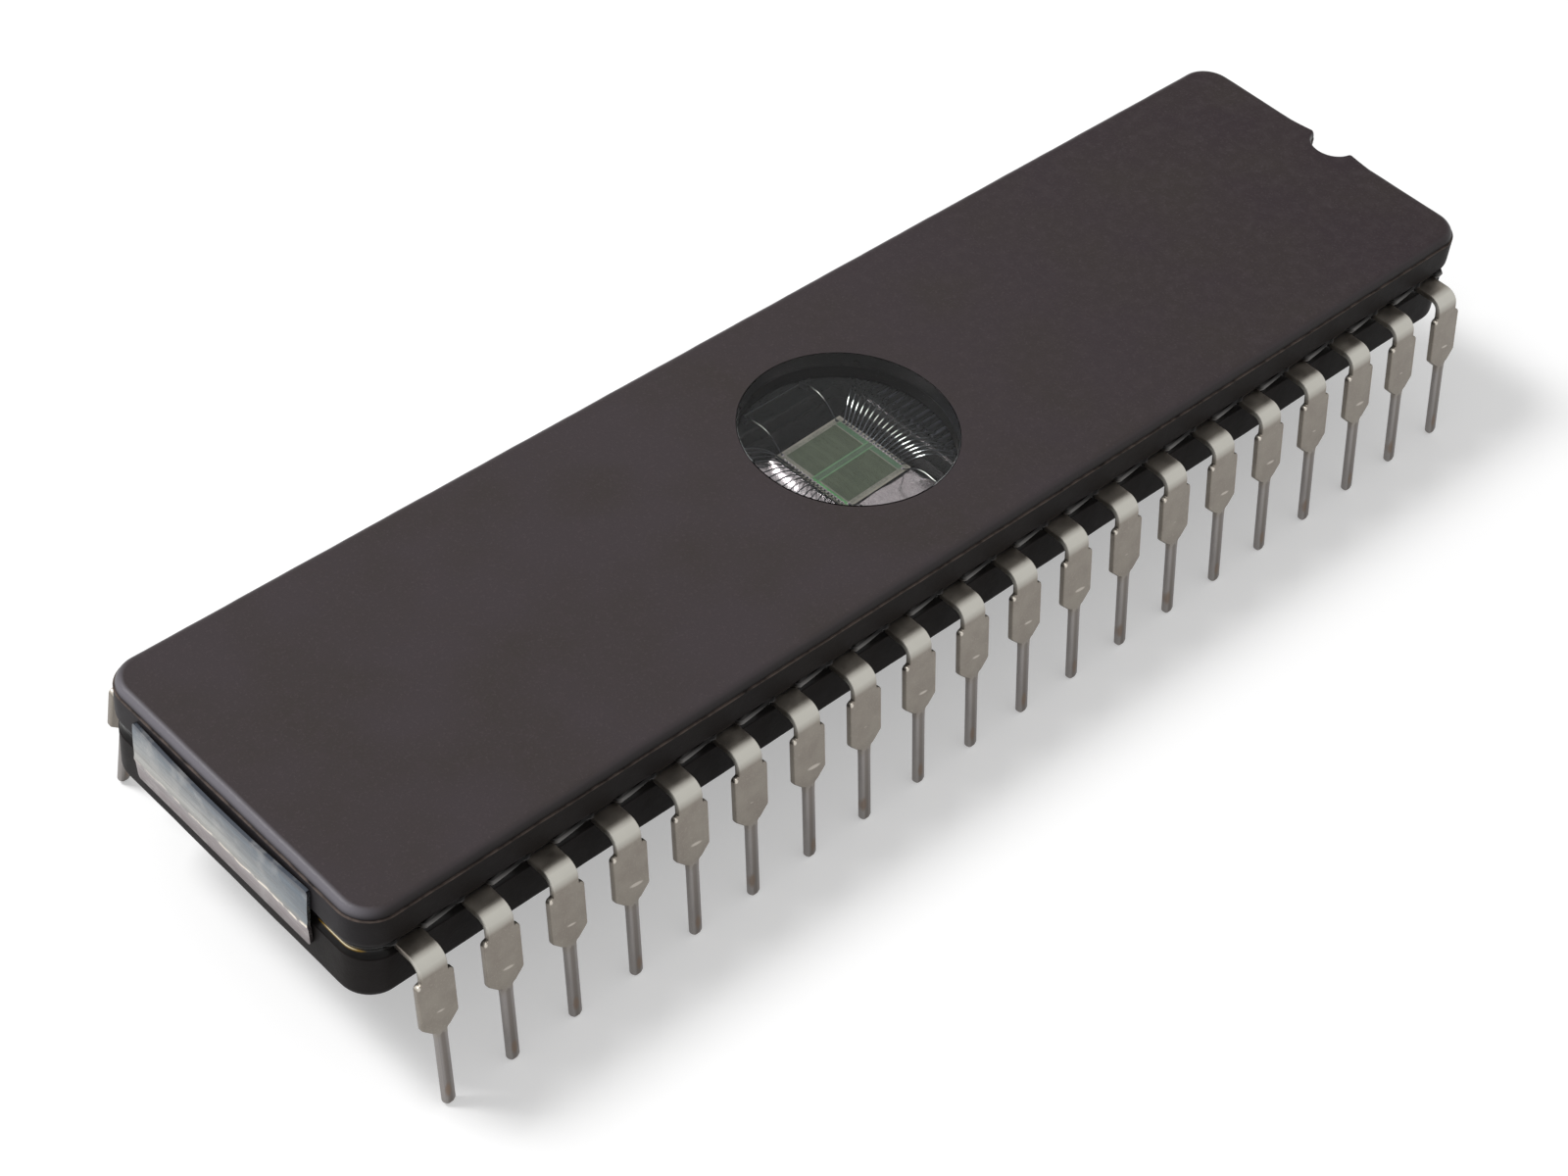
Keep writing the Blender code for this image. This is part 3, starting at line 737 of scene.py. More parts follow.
def body_outline(spacing, notch=False):
    """Round-cornered outline of the body, with the half-round notch and its rounded mouth."""
    x, y, r = HALF_LENGTH - CORNER_RADIUS, HALF_WIDTH - CORNER_RADIUS, CORNER_RADIUS
    arcs = [(x, y, r, 0, 90), (-x, y, r, 90, 180), (-x, -y, r, 180, 270), (x, -y, r, 270, 360)]
    if notch:
        turn = math.degrees(math.atan2(NOTCH_REACH, NOTCH_MOUTH))
        mouth = HALF_LENGTH - NOTCH_MOUTH
        arcs.insert(0, (mouth, NOTCH_REACH, NOTCH_MOUTH, -turn, 0))
        arcs.append((mouth, -NOTCH_REACH, NOTCH_MOUTH, 0, turn))
        arcs.append((HALF_LENGTH, 0.0, NOTCH_RADIUS, 180 + turn, 180 - turn))
    return arc_chain(arcs, spacing)


def with_heights(flat, heights):
    """Rings from lines in plan, one line for each ring or one for all, at their heights."""
    heights = np.asarray(heights, float)
    flat = np.broadcast_to(flat, (len(heights), *flat.shape[-2:]))
    rise = np.broadcast_to(heights[:, None], flat.shape[:2])
    return np.concatenate([flat, rise[..., None]], -1)


def inset_rings(line, facing, insets, heights):
    """Rings of a line moved in along its normals. An inset may vary along the line."""
    insets = np.asarray(insets, float)
    insets = insets[:, None] if insets.ndim == 1 else insets
    return with_heights(line[None] - insets[..., None] * facing[None], heights)


def circle_rings(angles, radii, heights):
    """Rings on circles about the middle, one point at each angle."""
    way = np.stack([np.cos(angles), np.sin(angles)], -1)
    return with_heights(np.asarray(radii)[:, None, None] * way[None], heights)


def box_line(angles, half_x, half_y, corner):
    """Where rays from the middle meet a rectangle with round corners.

    A ray meets the nearer of two sides. Where that is past a corner's centre both ways, it runs
    on to the corner's circle instead.
    """
    way = np.stack([np.cos(angles), np.sin(angles)], -1)
    reach = np.minimum(half_x / np.maximum(abs(way[:, 0]), 1e-9),
                       half_y / np.maximum(abs(way[:, 1]), 1e-9))
    spot = way * reach[:, None]
    centre = np.array([half_x - corner, half_y - corner]) * np.sign(way)
    in_corner = (np.abs(spot) > np.array([half_x, half_y]) - corner).all(-1)
    along = (way * centre).sum(-1)
    depth = along ** 2 - (centre ** 2).sum(-1) + corner ** 2
    curved = along + np.sqrt(np.maximum(depth, 0.0))
    return way * np.where(in_corner, curved, reach)[:, None]


def quarter(steps):
    """Sine and cosine from a quarter turn's start to its end."""
    angle = np.linspace(0, math.pi / 2, steps + 1)
    return np.sin(angle), np.cos(angle)


def waviness(line, shift):
    """How far a pressed edge runs inside its true line: three sines of the place, never below
    nought.
    """
    x, y = line[:, 0], line[:, 1]
    waves = np.sin(1.3 * x + 0.7 * y + shift) + np.sin(2.9 * x - 1.9 * y + 1.0)
    return WAVINESS * (2.6 + waves + 0.6 * np.sin(6.1 * x + 4.3 * y + 2.0))


def lid_piece(material):
    """Pressed cap. Its rings run from the hole out over the top, down the rounded shoulder, the
    ledge and the wall, round the lower edge and back under to the hole. At the plain end the
    shoulder takes a painted highlight by the sine of twice its slope, none at its top or foot,
    and the wall below it a little painted light. The ledge takes a painted highlight and the top
    painted light.
    """
    line, facing = body_outline(OUTLINE_STEP, notch=True)
    angles = np.arctan2(line[:, 1], line[:, 0])
    ledge = LID_TOP - SHOULDER_RISE
    foot = LID_BOTTOM + LID_LOWER_EDGE
    sine, cosine = quarter(EDGE_STEPS)
    small_sine, small_cosine = quarter(FINE_EDGE_STEPS)
    shoulder = zip(LEDGE_WIDTH + SHOULDER_RUN * (1 - cosine[::-1]),
                   ledge + SHOULDER_RISE * sine[::-1])
    profile = [(LEDGE_WIDTH + SHOULDER_RUN + FLAT_RIM, LID_TOP),
               *shoulder,
               *zip(LEDGE_EDGE * (1 - small_sine), ledge - LEDGE_EDGE * (1 - small_cosine)),
               (0.0, ledge - 2 * LEDGE_EDGE),
               *zip(LID_LOWER_EDGE * (1 - cosine), foot - LID_LOWER_EDGE * sine)]
    insets, heights = np.array(profile).T
    past_mouth = np.clip((abs(line[:, 1]) - NOTCH_REACH) / NOTCH_FADE, 0, 1)
    at_notch = line[:, 0] > HALF_LENGTH - CORNER_RADIUS
    scale = np.where(at_notch, NOTCH_SHOULDER + (1 - NOTCH_SHOULDER) * past_mouth, 1.0)
    wavy = line - facing * waviness(line, 0.0)[:, None]
    outer = inset_rings(wavy, facing, insets[:, None] * scale, heights)
    hole = WINDOW_RADIUS + CLEARANCE
    top = circle_rings(angles, [hole, hole + HOLE_EDGE, hole + HOLE_EDGE + FLAT_RIM],
                       [LID_TOP - HOLE_EDGE, LID_TOP, LID_TOP])
    under = circle_rings(angles, [hole + FLAT_RIM, hole], [LID_BOTTOM, LID_BOTTOM])
    rings = np.concatenate([top, outer, under])
    over_ledge = rings[..., 2] - ledge
    share = np.clip(over_ledge / SHOULDER_RISE, 0, 1)
    # Painted light: the top's share, lighter as if lit from above, where dust and grain also show
    lit_and_dusty_top = share ** 2
    lit_and_dusty_top[0] = 0.0
    # Painted highlight along the ledge
    ledge_highlight = abs(over_ledge) < LEDGE_HIGHLIGHT_REACH
    # Painted highlight on the plain end's shoulder, and painted light on its wall below
    plain_end_light = 2 * share * np.sqrt(1 - share ** 2) + END_WALL_LIGHT * (over_ledge < 0)
    plain_end_light = plain_end_light * np.clip(-facing[:, 0], 0, 1) ** 2
    plain_end_light[:len(top)] = 0.0
    named = {"top": lit_and_dusty_top, "ledge_highlight": ledge_highlight, "plain_end_light": plain_end_light}
    make_piece("lid_cap", [(rings, True, (False, False), named)], material, "ceramic", "lid")


def base_piece(material):
    """Lower half of the body. Its rings run from the underside round the lower edge, up the wall,
    in over the top and down into the die cavity, whose floor closes it.
    """
    line, facing = body_outline(OUTLINE_STEP)
    angles = np.arctan2(line[:, 1], line[:, 0])
    sine, cosine = quarter(EDGE_STEPS)
    profile = [(BASE_INSET + BASE_EDGE + FLAT_RIM, BASE_BOTTOM),
               *zip(BASE_INSET + BASE_EDGE * (1 - sine), BASE_BOTTOM + BASE_EDGE * (1 - cosine)),
               (BASE_INSET, BASE_TOP - CAVITY_EDGE), (BASE_INSET + CAVITY_EDGE, BASE_TOP),
               (BASE_INSET + 2 * CAVITY_EDGE, BASE_TOP)]
    insets, heights = np.array(profile).T
    wavy = line - facing * waviness(line, 2.0)[:, None]
    outer = inset_rings(wavy, facing, insets, heights)
    lip = box_line(angles, CAVITY_X + CAVITY_EDGE, CAVITY_Y + CAVITY_EDGE, CAVITY_CORNER)
    wall = box_line(angles, CAVITY_X, CAVITY_Y, CAVITY_CORNER)
    rings = np.concatenate([outer, with_heights(lip, [BASE_TOP]),
                            with_heights(wall, [BASE_TOP - CAVITY_EDGE, CAVITY_FLOOR])])
    make_piece("base_block", [(rings, False, (True, True), {"top": 0.0})], material, "ceramic",
               "base")


def bead_height(line):
    """How much of a full bead of glass stands at each place along a side.

    The place is counted from the middle of the nearest lead: none over the lead, full just past
    it, then falling evenly to the next lead, where a small drop is left as a bell curve.
    """
    at_side = abs(line[:, 1]) > HALF_WIDTH - BEAD_DEPTH
    in_row = abs(line[:, 0]) < PER_QUARTER * PITCH - BEAD_MARGIN
    onward = line[:, 0] * -np.sign(line[:, 1])
    place = np.mod(onward - PITCH / 2, PITCH)
    rise = np.clip((place - BEAD_START) / (BEAD_FULL - BEAD_START), 0, 1)
    fall = np.clip((BEAD_END - place) / (BEAD_END - BEAD_FULL), 0, 1)
    drop = DROP_SHARE * np.exp(-((place - DROP_AT) / DROP_SPREAD) ** 2)
    return np.where(at_side & in_row, rise * fall + drop, 0.0)


def seal_piece(material):
    """Frame of glass between the halves.

    Its outer wall is hollow, half a sine wave deep, and bulges by the bead beside each lead: its
    height along the side times a bell curve of the level, which is narrower where it is low. That
    bell curve also sets the bead's painted grey sheen. The painted yellow-white glint in the seam
    is a bell curve of the level that ends where it is far along the seam.
    """
    line, facing = body_outline(SEAL_STEP)
    angles = np.arctan2(line[:, 1], line[:, 0])
    low, high = BASE_TOP + CLEARANCE / 2, LID_BOTTOM - CLEARANCE / 2
    levels = np.linspace(low, high + SEAL_PAST_LID, SEAL_LEVELS)
    depth = np.sin(math.pi * np.clip((levels - low) / (high - low), 0, 1))
    bead = bead_height(line)[None]
    spread = BEAD_SPREAD * (BEAD_LEAST_SPREAD + (1 - BEAD_LEAST_SPREAD) * bead)
    bell = bead * np.exp(-((levels[:, None] - BEAD_LEVEL) / spread) ** 2)
    insets = SEAL_INSET + SEAL_HOLLOW * depth[:, None] - BEAD_REACH * np.sqrt(bell)
    wall = inset_rings(line, facing, insets, levels)
    wide = box_line(angles, CAVITY_X + END_SHELF, CAVITY_Y + SIDE_SHELF, CAVITY_CORNER)
    narrow = box_line(angles, CAVITY_X, CAVITY_Y, CAVITY_CORNER)
    inner = np.concatenate([with_heights(wide, [high, *SHELF_FOOT]),
                            with_heights(narrow, [SHELF_HEIGHT, low])])
    rings = np.concatenate([wall, inner])
    # Painted yellow-white glint in the seam at one corner
    away = np.linalg.norm(line - SEAM_GLINT_PLACE, axis=1) / SEAM_GLINT_REACH
    off_level = (levels[:, None] - SEAM_GLINT_LEVEL) / SEAM_GLINT_SPREAD
    seam_glint_band = np.exp(-away[None] ** 4 - off_level ** 2)
    # Painted grey glint round one ring of the shelf's rim; the beads' bell curve carries their
    # painted sheen
    plain = np.zeros(inner.shape[:2])
    rim_glint = plain.copy()
    rim_glint[SHELF_GLINT_RING] = SHELF_GLINT
    named = {"bead_and_rim_sheen": np.concatenate([bell, rim_glint]), "seam_glint": np.concatenate([seam_glint_band, plain])}
    make_piece("seal_frame", [(rings, True, (False, False), named)], material, "sealing_glass",
               "seal_glass")


def window_piece(material, rim_material):
    """Quartz disc with a fine bevel round both faces. Its wall is sealed with dark glass."""
    angles = np.linspace(0, 2 * math.pi, WINDOW_SIDES + 1)[:-1]
    half = [(WINDOW_EDGE + FLAT_RIM, 0.0), (WINDOW_EDGE, 0.0), (0.0, WINDOW_EDGE)]
    insets, depths = np.array(half).T
    radii = WINDOW_RADIUS - np.concatenate([insets, insets[::-1]])
    heights = np.concatenate([WINDOW_BOTTOM + depths, WINDOW_TOP - depths[::-1]])
    rings = circle_rings(angles, radii, heights)
    made = make_piece("quartz_window", [(rings, False, (True, True), {})], material, "quartz",
                      "window")
    made.data.materials.append(rim_material)
    facing = np.empty(3 * len(made.data.polygons))
    made.data.polygons.foreach_get("normal", facing)
    upright = abs(facing[2::3]) < WALL_LEVEL
    made.data.polygons.foreach_set("material_index", upright.astype(np.int32))


def leg_place(along):
    """Y, Z and turn of the centre line: level, then an arc, then straight down and outwards."""
    turn = np.clip((along - LEVEL_RUN) / BEND_RADIUS, 0, BEND_TURN)
    level = np.minimum(along, LEVEL_RUN)
    down = np.maximum(along - LEVEL_RUN - BEND_RUN, 0)
    y = ROOT_Y + level + BEND_RADIUS * np.sin(turn) + down * np.cos(turn)
    z = LEAD_LEVEL - BEND_RADIUS * (1 - np.cos(turn)) - down * np.sin(turn)
    return y, z, turn


def rounded_line(corners, radii, spacing, steps=4):
    """Points and left normals along a line whose corners are arcs, cut at the spacing.

    An arc's centre lies a radius square of both edges, and its points are a radius from there
    along the normal, which turns from one edge's to the next's.
    """
    corners = np.asarray(corners, float)
    spots, normals = [corners[0]], []
    for index in range(1, len(corners) - 1):
        before = corners[index] - corners[index - 1]
        after = corners[index + 1] - corners[index]
        before, after = before / np.linalg.norm(before), after / np.linalg.norm(after)
        turn = math.atan2(before[0] * after[1] - before[1] * after[0], before @ after)
        radius = radii[index - 1] * np.sign(turn)
        left = np.array([-before[1], before[0]])
        centre = corners[index] - before * abs(radius) * math.tan(abs(turn) / 2) + radius * left
        for angle in np.linspace(0, turn, steps + 1):
            way = left * math.cos(angle) - before * math.sin(angle)
            spots.append(centre - radius * way)
            normals.append(way)
    spots, normals = np.array([*spots, corners[-1]]), np.array([normals[0], *normals, normals[-1]])
    counts = np.ceil(np.linalg.norm(np.diff(spots, axis=0), axis=1) / spacing).astype(int)
    place = np.concatenate([index + np.arange(count) / count for index, count in enumerate(counts)])
    place = np.append(place, len(spots) - 1)
    index = np.arange(len(spots))
    both = np.concatenate([spots, normals], 1).T
    s, w, face_s, face_w = (np.interp(place, index, values) for values in both)
    return s, w, face_s, face_w


def leg_outline():
    """Half of a leg's flat outline, from its root to the middle of its tip."""
    corners = [(0.0, NECK), (run_at(SHOULDER + SHOULDER_SLOPE), NECK), (run_at(SHOULDER), BLADE),
               (run_at(PIN_LENGTH), BLADE), (PIN_START, PIN + PIN_FLARE),
               (run_at(CHAMFER_LOW - PIN_FLARE / 2), PIN), (run_at(FOOT + TIP_TAPER), PIN),
               (LEG_END, TIP), (LEG_END, 0.0)]
    return rounded_line(corners, OUTLINE_ROUNDING, LEG_STEP)


def finger_line(order):
    """Points, ways across and half widths of a finger, from its tip to its column.

    It lies in the +X, -Y quarter, and a row's leads are counted from the middle outwards. At a
    corner the way across is the sum of both edges' normals over half its square.
    """
    lead_x = PITCH * (order + 0.5)
    column = (lead_x, -(ROOT_Y - COLUMN_LENGTH - COLUMN_STEP * order))
    if order == 0:
        spots = [(CORNER_FINGER_X, -CAVITY_Y - CORNER_SETBACK)]
    else:
        tip_x = CAVITY_X + FINGER_SETBACK
        tip_y = -FINGER_PITCH * (PER_QUARTER - order - 0.5)
        fan_x = min(CAVITY_X + END_SHELF + FAN_MARGIN, lead_x - 2 * COLUMN_HALF)
        spots = [(tip_x, tip_y)]
        if fan_x > tip_x + FINGER_SETBACK:
            spots.append((fan_x, tip_y))
    halves = [FINGER_HALF] * len(spots) + [COLUMN_HALF]
    spots = np.array([*spots, column, (lead_x, -ROOT_Y)])
    steps = np.diff(spots, axis=0)
    across = np.stack([-steps[:, 1], steps[:, 0]], -1) / np.linalg.norm(steps, axis=1)[:, None]
    joint = across[:-1] + across[1:]
    joint = joint * 2 / (joint ** 2).sum(-1)[:, None]
    return spots[:-1], np.concatenate([across[:1], joint]), np.array(halves)


def lead_rings(order, seed):
    """Rings of one lead in the +X, -Y quarter, from its finger's tip to its pin's tip.

    A ring is a flat section with round edges: its inset from the outline and its height follow
    a quarter circle at each edge. On the leg the outline's own normal carries the inset, so that
    shoulders, chamfers and tip are rounded too, and points on the faces are spread from a middle
    line that stops short of the tip. Faces are a little hollow, by the square of the place.
    """
    spots, sides, halves = finger_line(order)
    inner = len(spots)
    s, w, face_s, face_w = leg_outline()
    s = np.concatenate([np.zeros(inner), s])[:, None]
    w = np.concatenate([halves, w])[:, None]
    face_s = np.concatenate([np.zeros(inner), face_s])[:, None]
    face_w = np.concatenate([np.ones(inner), face_w])[:, None]
    edge = np.interp(s, EDGE_PLACES, EDGE_RADII)
    edge[:inner] = FINGER_EDGE

    sine, cosine = quarter(FINE_EDGE_STEPS)
    flat = np.ones(FACE_STEPS)
    share = np.linspace(0, 1, FACE_STEPS + 1)[:-1]
    inset = np.concatenate([flat, 1 - cosine[::-1], 1 - cosine, flat])
    raised = np.concatenate([flat, sine[::-1], sine, flat])
    share = np.concatenate([share, np.ones(2 * len(sine)), share[::-1]])
    side = np.repeat([1.0, -1.0], len(inset) // 2)

    rim_s, rim_w = s - edge * inset * face_s, w - edge * inset * face_w
    middle = np.minimum(rim_s, LEG_END - TIP)
    along = middle + share * (rim_s - middle)
    across = share * rim_w
    height = side * (HALF_THICK - edge * (1 - raised) - FACE_HOLLOW * share ** 2 * (raised == 1))
    along, across, height = (np.concatenate([part, sign * part[:, -2:0:-1]], 1)
                             for part, sign in ((along, 1), (across, -1), (height, 1)))
    y, z, turn = leg_place(along)
    lead_x = PITCH * (order + 0.5)
    rings = np.stack([lead_x + across, -(y + height * np.sin(turn)), z + height * np.cos(turn)], -1)
    rings[:inner, :, :2] = spots[:, None] + sides[:, None] * across[:inner, :, None]
    along[:inner] = -np.linalg.norm(spots - (lead_x, -ROOT_Y), axis=1)[:, None]
    return rings, {"along": along, "across": across, "seed": seed}


def quarters():
    """The four quarters of the chip: which way each is mirrored along X and Y."""
    return [(side_x, side_y) for side_x in (1, -1) for side_y in (1, -1)]


def mirrored(rings, side_x, side_y):
    """Rings of the +X, -Y quarter in another one. A side of plus one keeps the +X or takes +Y."""
    return rings * np.array([side_x, -side_y, 1.0])


def pin_number(order, side_x, side_y):
    """Pins count from the notch along the +Y row and back along the -Y row."""
    from_notch = PER_QUARTER - order if side_x > 0 else PER_QUARTER + 1 + order
    return from_notch if side_y > 0 else 4 * PER_QUARTER + 1 - from_notch


def lead_pieces(material):
    """The forty leads, each mirrored from the +X, -Y quarter into its own."""
    for side_x, side_y in quarters():
        for order in range(PER_QUARTER):
            number = pin_number(order, side_x, side_y)
            rings, named = lead_rings(order, RANDOM.uniform(-1, 1))
            named["across"] = named["across"] * side_x
            shell = (mirrored(rings, side_x, side_y), False, (True, False), named)
            make_piece(f"tinned_lead_{number:02d}", [shell], material, "tinned_alloy",
                       f"lead_{number:02d}")


def die_place(x, y):
    """A point of the die's own plan, in its place in the cavity."""
    cosine, sine = math.cos(DIE_TURN), math.sin(DIE_TURN)
    return np.array([x * cosine - y * sine + DIE_X, x * sine + y * cosine + DIE_Y])


def bond_pad(order):
    """The die's bond pad for a lead, in the die's own plan, +X and -Y quarter."""
    if order == 0:
        return DIE_HALF_X - 2 * BOND_MARGIN, BOND_MARGIN - DIE_HALF_Y
    in_line = PER_QUARTER - 1
    return DIE_HALF_X - BOND_MARGIN, (BOND_END - DIE_HALF_Y) * (in_line - order + 0.5) / in_line


def wire_ends(order, side_x, side_y):
    """Where a wire starts on its finger, and its pad, both in plan."""
    spots = finger_line(order)[0]
    inward = (spots[1] - spots[0]) / np.linalg.norm(spots[1] - spots[0])
    start = mirrored(np.array([*(spots[0] + inward * WIRE_START), 0.0]), side_x, side_y)[:2]
    pad_x, pad_y = bond_pad(order)
    return start, die_place(side_x * pad_x, -side_y * pad_y)


def wire_rings(start, end, crest):
    """A round wire over an arch, pressed flat at both ends, and how far each ring is from the pad.

    Its plan is straight. From the pad it rises on a parabola to its crest, then sinks on a
    gentler one to the finger. Each foot is thinner and wider than the wire.
    """
    t = np.linspace(0, 1, WIRE_STEPS)
    run = np.linalg.norm(end - start)
    way = (end - start) / run
    foot = np.clip(1 - np.minimum(t, 1 - t) * run / WIRE_FOOT, 0, 1)
    thin = WIRE_RADIUS * (1 - FOOT_THINNER * foot)
    wide = WIRE_RADIUS * (1 + FOOT_WIDER * foot)
    from_pad = np.maximum((1 - t) * run - WIRE_FOOT, 0)
    rising = np.clip(1 - from_pad / WIRE_REACH, 0, 1)
    falling = np.clip((from_pad - WIRE_REACH) / (run - WIRE_FOOT - WIRE_REACH), 0, 1)
    sink = DIE_TOP + crest - LEAD_LEVEL - HALF_THICK
    z = DIE_TOP + crest * (1 - rising ** 2) - sink * falling ** 2 + thin
    angle = np.linspace(0, 2 * math.pi, WIRE_SIDES + 1)[:-1]
    side = wide[:, None] * np.cos(angle)
    flat = start + (end - start) * t[:, None]
    plan = flat[:, None] + side[..., None] * np.array([-way[1], way[0]])
    height = z[:, None] + thin[:, None] * np.sin(angle)
    return np.concatenate([plan, height[..., None]], -1), from_pad[:, None]


def wires_piece(material):
    """All the bond wires, each a tube of its own.

    The four at the corners carry painted glints near their crests, and the others of the notched
    end where they rise from their pads, by a bell curve of the distance from the pad.
    """
    shells = []
    for side_x, side_y in quarters():
        for order in range(PER_QUARTER):
            crest = WIRE_CREST + RANDOM.uniform(-WIRE_UNEVEN, WIRE_UNEVEN)
            rings, from_pad = wire_rings(*wire_ends(order, side_x, side_y), crest)
            # Painted glints: near the crest of the corner wires, on the rise of the notched end's
            # others
            middle, half = GLINT_AT_CREST if order == 0 else GLINT_ON_RISE
            wire_glint = np.exp(-((from_pad - middle) / half) ** 2) * (order == 0 or side_x > 0)
            shells.append((rings, False, (True, True), {"wire_glint": wire_glint}))
    make_piece("bond_wires", shells, material, "tinned_alloy")


def pads_piece(material):
    """Bond pads: thin metal squares on the die, one under each wire."""
    corners = np.array([(1, 1), (-1, 1), (-1, -1), (1, -1)]) * PAD_HALF
    shells = []
    for side_x, side_y in quarters():
        for order in range(PER_QUARTER):
            square = corners + wire_ends(order, side_x, side_y)[1]
            rings = with_heights(square, [DIE_TOP, DIE_TOP + PAD_RISE])
            shells.append((rings, False, (True, True), {}))
    make_piece("bond_pads", shells, material, "silver_glass")


def die_attach_piece(material):
    """Layer under the die: level over the cavity floor, and drawn up the die's sides.

    Its rings run from the cavity wall to the die. The height is the layer's, plus a fillet that
    falls off from the die by a bell curve of the distance and is uneven by two sines of the angle.
    """
    angles = np.linspace(0, 2 * math.pi, BED_SIDES + 1)[:-1]
    rim = box_line(angles, CAVITY_X - BED_MARGIN, CAVITY_Y - BED_MARGIN,
                   CAVITY_CORNER - BED_MARGIN)
    edge = die_place(*box_line(angles, DIE_HALF_X, DIE_HALF_Y, DIE_CORNER).T).T
    share = np.linspace(0, 1, BED_RINGS)[:, None, None]
    flat = rim[None] + (edge - rim)[None] * share
    gap = np.linalg.norm(edge - flat, axis=-1)
    slow, fast = FILLET_UNEVEN
    uneven = 1 + slow * np.sin(3 * angles + 0.7) + fast * np.sin(7 * angles)
    height = PAD_TOP + FILLET_RISE * uneven * np.exp(-(gap / FILLET_SPREAD) ** 2)
    top = np.concatenate([flat, height[..., None]], -1)
    rings = np.concatenate([with_heights(rim, [PAD_BOTTOM]), top,
                            with_heights(edge, [PAD_BOTTOM])])
    make_piece("die_bed", [(rings, True, (False, False), {})], material, "silver_glass",
               "die_attach")


def plate_piece(material):
    """Thin plate upright on the plain end, bowed out along its top edge.

    Its place across X is a straight lean from the base wall to the lid wall, plus a low bulge of
    half a sine wave, a bow that grows with the square of the height, and a narrow crease, whose
    height wanders by two sines.
    """
    across = np.linspace(-1, 1, PLATE_COLUMNS)[:, None]
    rise = np.linspace(0, 1, PLATE_ROWS)[None]
    corner = np.clip((abs(across) - 1) * PLATE_HALF + PLATE_CORNER, 0, PLATE_CORNER)
    trim = PLATE_CORNER - np.sqrt(PLATE_CORNER ** 2 - corner ** 2)
    z = PLATE_BOTTOM + trim + (PLATE_HEIGHT - 2 * trim) * rise
    low_x, high_x = HALF_LENGTH - BASE_INSET + CLEARANCE, HALF_LENGTH + CLEARANCE
    bow = PLATE_BOW * rise ** 2 * (1 - across ** 2)
    slow, fast = CREASE_UNEVEN
    uneven = slow * np.sin(11 * across + 1.0) + fast * np.sin(31 * across)
    ridge = np.exp(-((rise - CREASE_RISE - uneven) / CREASE_WIDTH) ** 2)
    bulge = PLATE_BULGE * np.sin(math.pi * rise)
    x = low_x + (high_x - low_x) * rise + bulge + bow + CREASE_DEPTH * ridge
    y = np.broadcast_to(PLATE_MIDDLE + across * PLATE_HALF, x.shape)
    inner = np.stack([-x, y, z], -1)
    outer = np.stack([-x - PLATE_THICKNESS, y, z], -1)[:, ::-1]
    rings = np.concatenate([inner, outer], 1)
    # Painted highlight along the crease, and painted blue reflection above it towards one end
    crease = ridge ** 4 * (CREASE_GLINT_MIDDLE - CREASE_GLINT_ENDS * across)
    above = np.clip((rise - CREASE_RISE) / BLUE_REFLECTION_FULL, 0, 1) * np.clip(-across, 0, 1)
    named = {"rise": rise + 0 * across, "crease": crease, "above": above}
    named = {key: np.concatenate([value, value[:, ::-1]], 1) for key, value in named.items()}
    make_piece("creased_end_plate", [(rings, False, (True, True), named)], material,
               "tinned_alloy", "end_plate")


# Camera, floor and light


def place_camera():
    """Camera that looks back along its azimuth and elevation, rolled about its own axis."""
    level = math.cos(CAMERA_ELEVATION)
    back = Vector((math.sin(CAMERA_AZIMUTH) * level, -math.cos(CAMERA_AZIMUTH) * level,
                   math.sin(CAMERA_ELEVATION)))
    right = Vector((0, 0, 1)).cross(back).normalized()
    turned = Matrix((right, back.cross(right), back)).transposed().to_4x4()
    spot = (Vector(CAMERA_TARGET) + back * CAMERA_DISTANCE) * MM
    view = bpy.data.cameras.new("chip_view")
    view.lens = CAMERA_LENS
    view.sensor_width = 36
    view.clip_start = 0.01
    made = bpy.data.objects.new("chip_view", view)
    made.matrix_world = Matrix.Translation(spot) @ turned @ Matrix.Rotation(CAMERA_ROLL, 4, "Z")
    bpy.context.scene.collection.objects.link(made)
    bpy.context.scene.camera = made


def seen_directly(tree):
    """One for camera, glossy and transmission rays, nought for the light that falls on things."""
    rays = [add(tree, "LightPath", {}, f"Is {kind} Ray")
            for kind in ("Camera", "Glossy", "Transmission")]
    both = add(tree, "Math", {0: rays[0], 1: rays[1]}, operation="MAXIMUM")
    return add(tree, "Math", {0: both, 1: rays[2]}, operation="MAXIMUM")


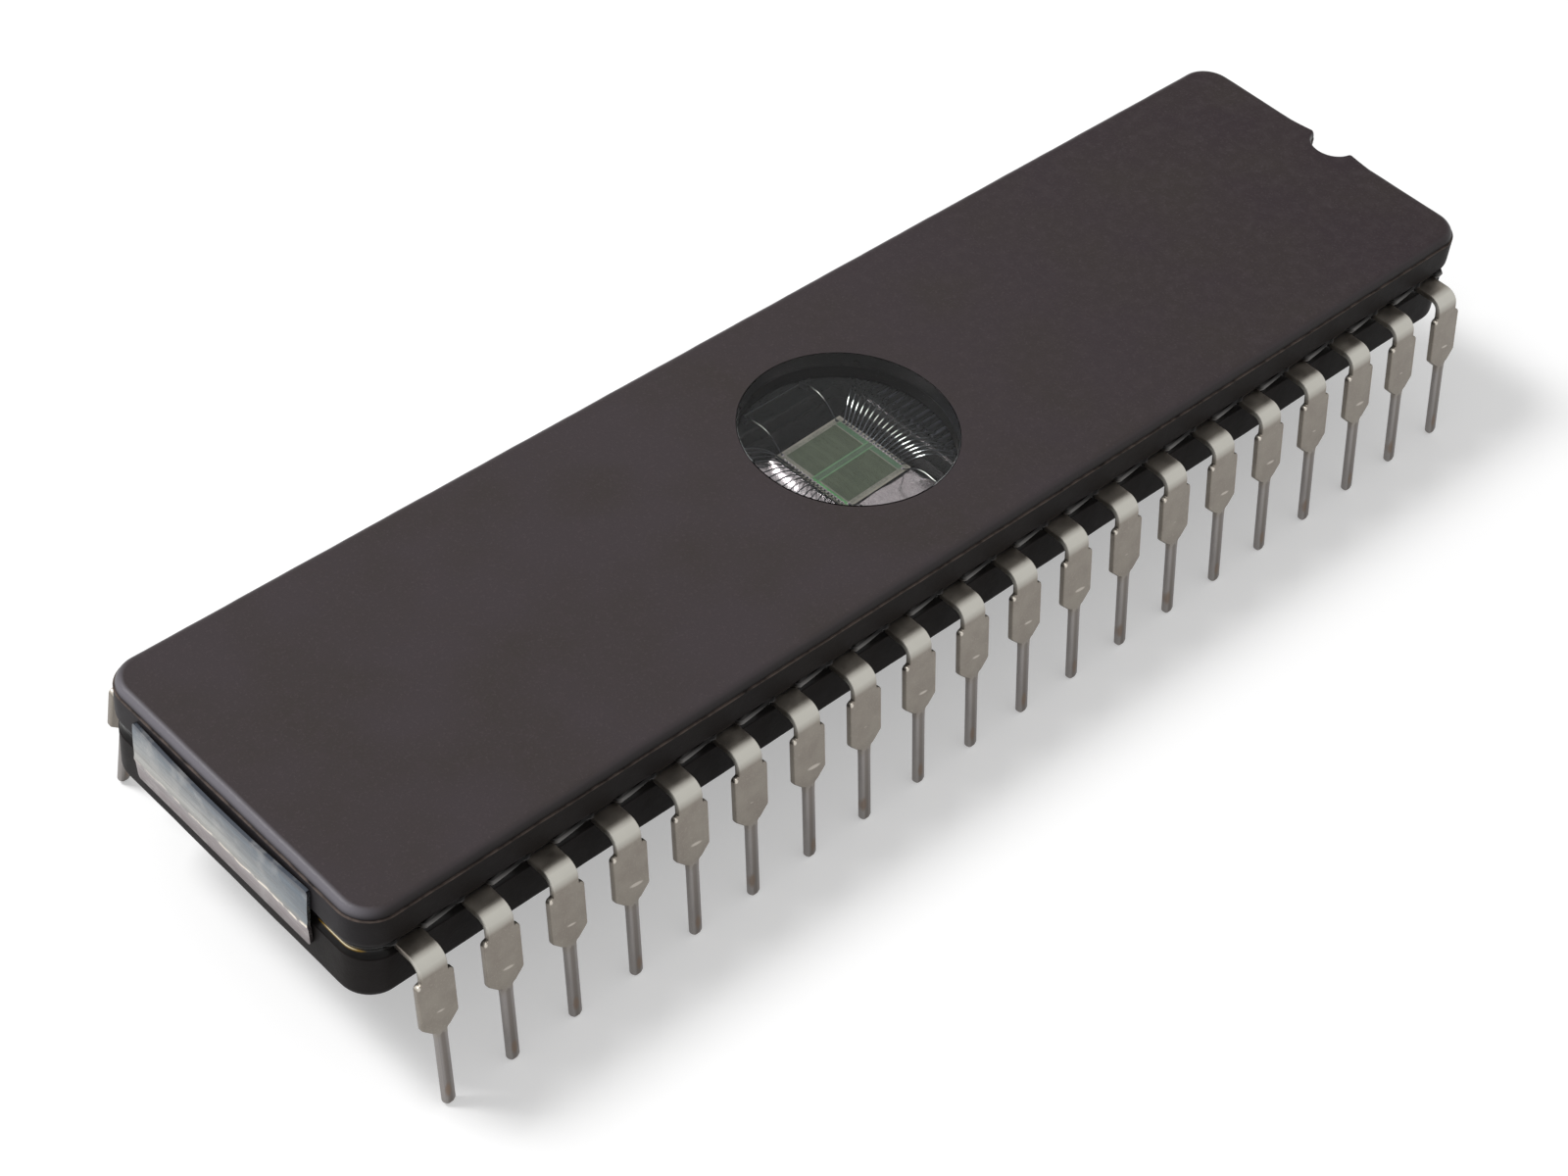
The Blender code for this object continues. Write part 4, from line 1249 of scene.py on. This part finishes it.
def place_floor():
    """Plain white floor. It glows a little for what sees it, so that it is white but still keeps
    the chip's shadow.
    """
    made, tree, place = new_material("plain_white_floor")
    paper = add(tree, "TexNoise", {"Vector": place, "Scale": per_mm(3.0)})
    rough = add(tree, "MapRange", {0: paper, 3: 0.85, 4: 0.95})
    lift = add(tree, "Math", {0: seen_directly(tree), 1: FLOOR_LIFT}, operation="MULTIPLY")
    shader = add(tree, "BsdfPrincipled", {"Base Color": linear("#dadada"), "Roughness": rough,
                                          "Specular IOR Level": 0.0,
                                          "Emission Color": linear("#ffffff"),
                                          "Emission Strength": lift})
    add(tree, "OutputMaterial", {"Surface": shader})
    corners = np.array([(-1, -1, 0), (1, -1, 0), (1, 1, 0), (-1, 1, 0)]) * FLOOR_HALF
    mesh = bpy.data.meshes.new("floor")
    mesh.from_pydata(corners.tolist(), [], [(0, 1, 2, 3)])
    mesh.materials.append(made)
    floor = bpy.data.objects.new("floor", mesh)
    bpy.context.scene.collection.objects.link(floor)


def place_lights():
    """Soft lamp behind the plain end, and an even sky that looks white but lights less."""
    lamp = bpy.data.lights.new("soft_lamp", "AREA")
    lamp.size = KEY_SIZE
    lamp.energy = KEY_POWER
    made = bpy.data.objects.new("soft_lamp", lamp)
    way = Vector(KEY_WAY).normalized()
    turn = way.to_track_quat("Z", "Y").to_matrix().to_4x4()
    made.matrix_world = Matrix.Translation(way * KEY_DISTANCE) @ turn
    bpy.context.scene.collection.objects.link(made)
    sky = bpy.data.worlds.new("even_sky")
    sky.use_nodes = True
    sky.node_tree.nodes.clear()
    tree = sky.node_tree
    level = add(tree, "MapRange", {0: seen_directly(tree), 3: SKY_LEVEL, 4: 1.0})
    light = add(tree, "Background", {"Color": linear("#ffffff"), "Strength": level})
    add(tree, "OutputWorld", {"Surface": light})
    bpy.context.scene.world = sky


def dress():
    """Makes every piece in its material. The die keeps its solid and is only coloured."""
    ceramic = fired_ceramic()
    black_glass = sealing_glass()
    silver = silver_glass()
    lid_piece(ceramic)
    base_piece(ceramic)
    seal_piece(black_glass)
    window_piece(fused_quartz(), black_glass)
    lead_pieces(dipped_solder())
    wires_piece(aluminium_wire())
    pads_piece(silver)
    die_attach_piece(silver)
    plate_piece(rolled_strip())
    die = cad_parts["die"]
    die.data.materials.clear()
    die.data.materials.append(memory_silicon())


dress()
place_camera()
place_floor()
place_lights()
bpy.context.scene.view_settings.view_transform = "Standard"
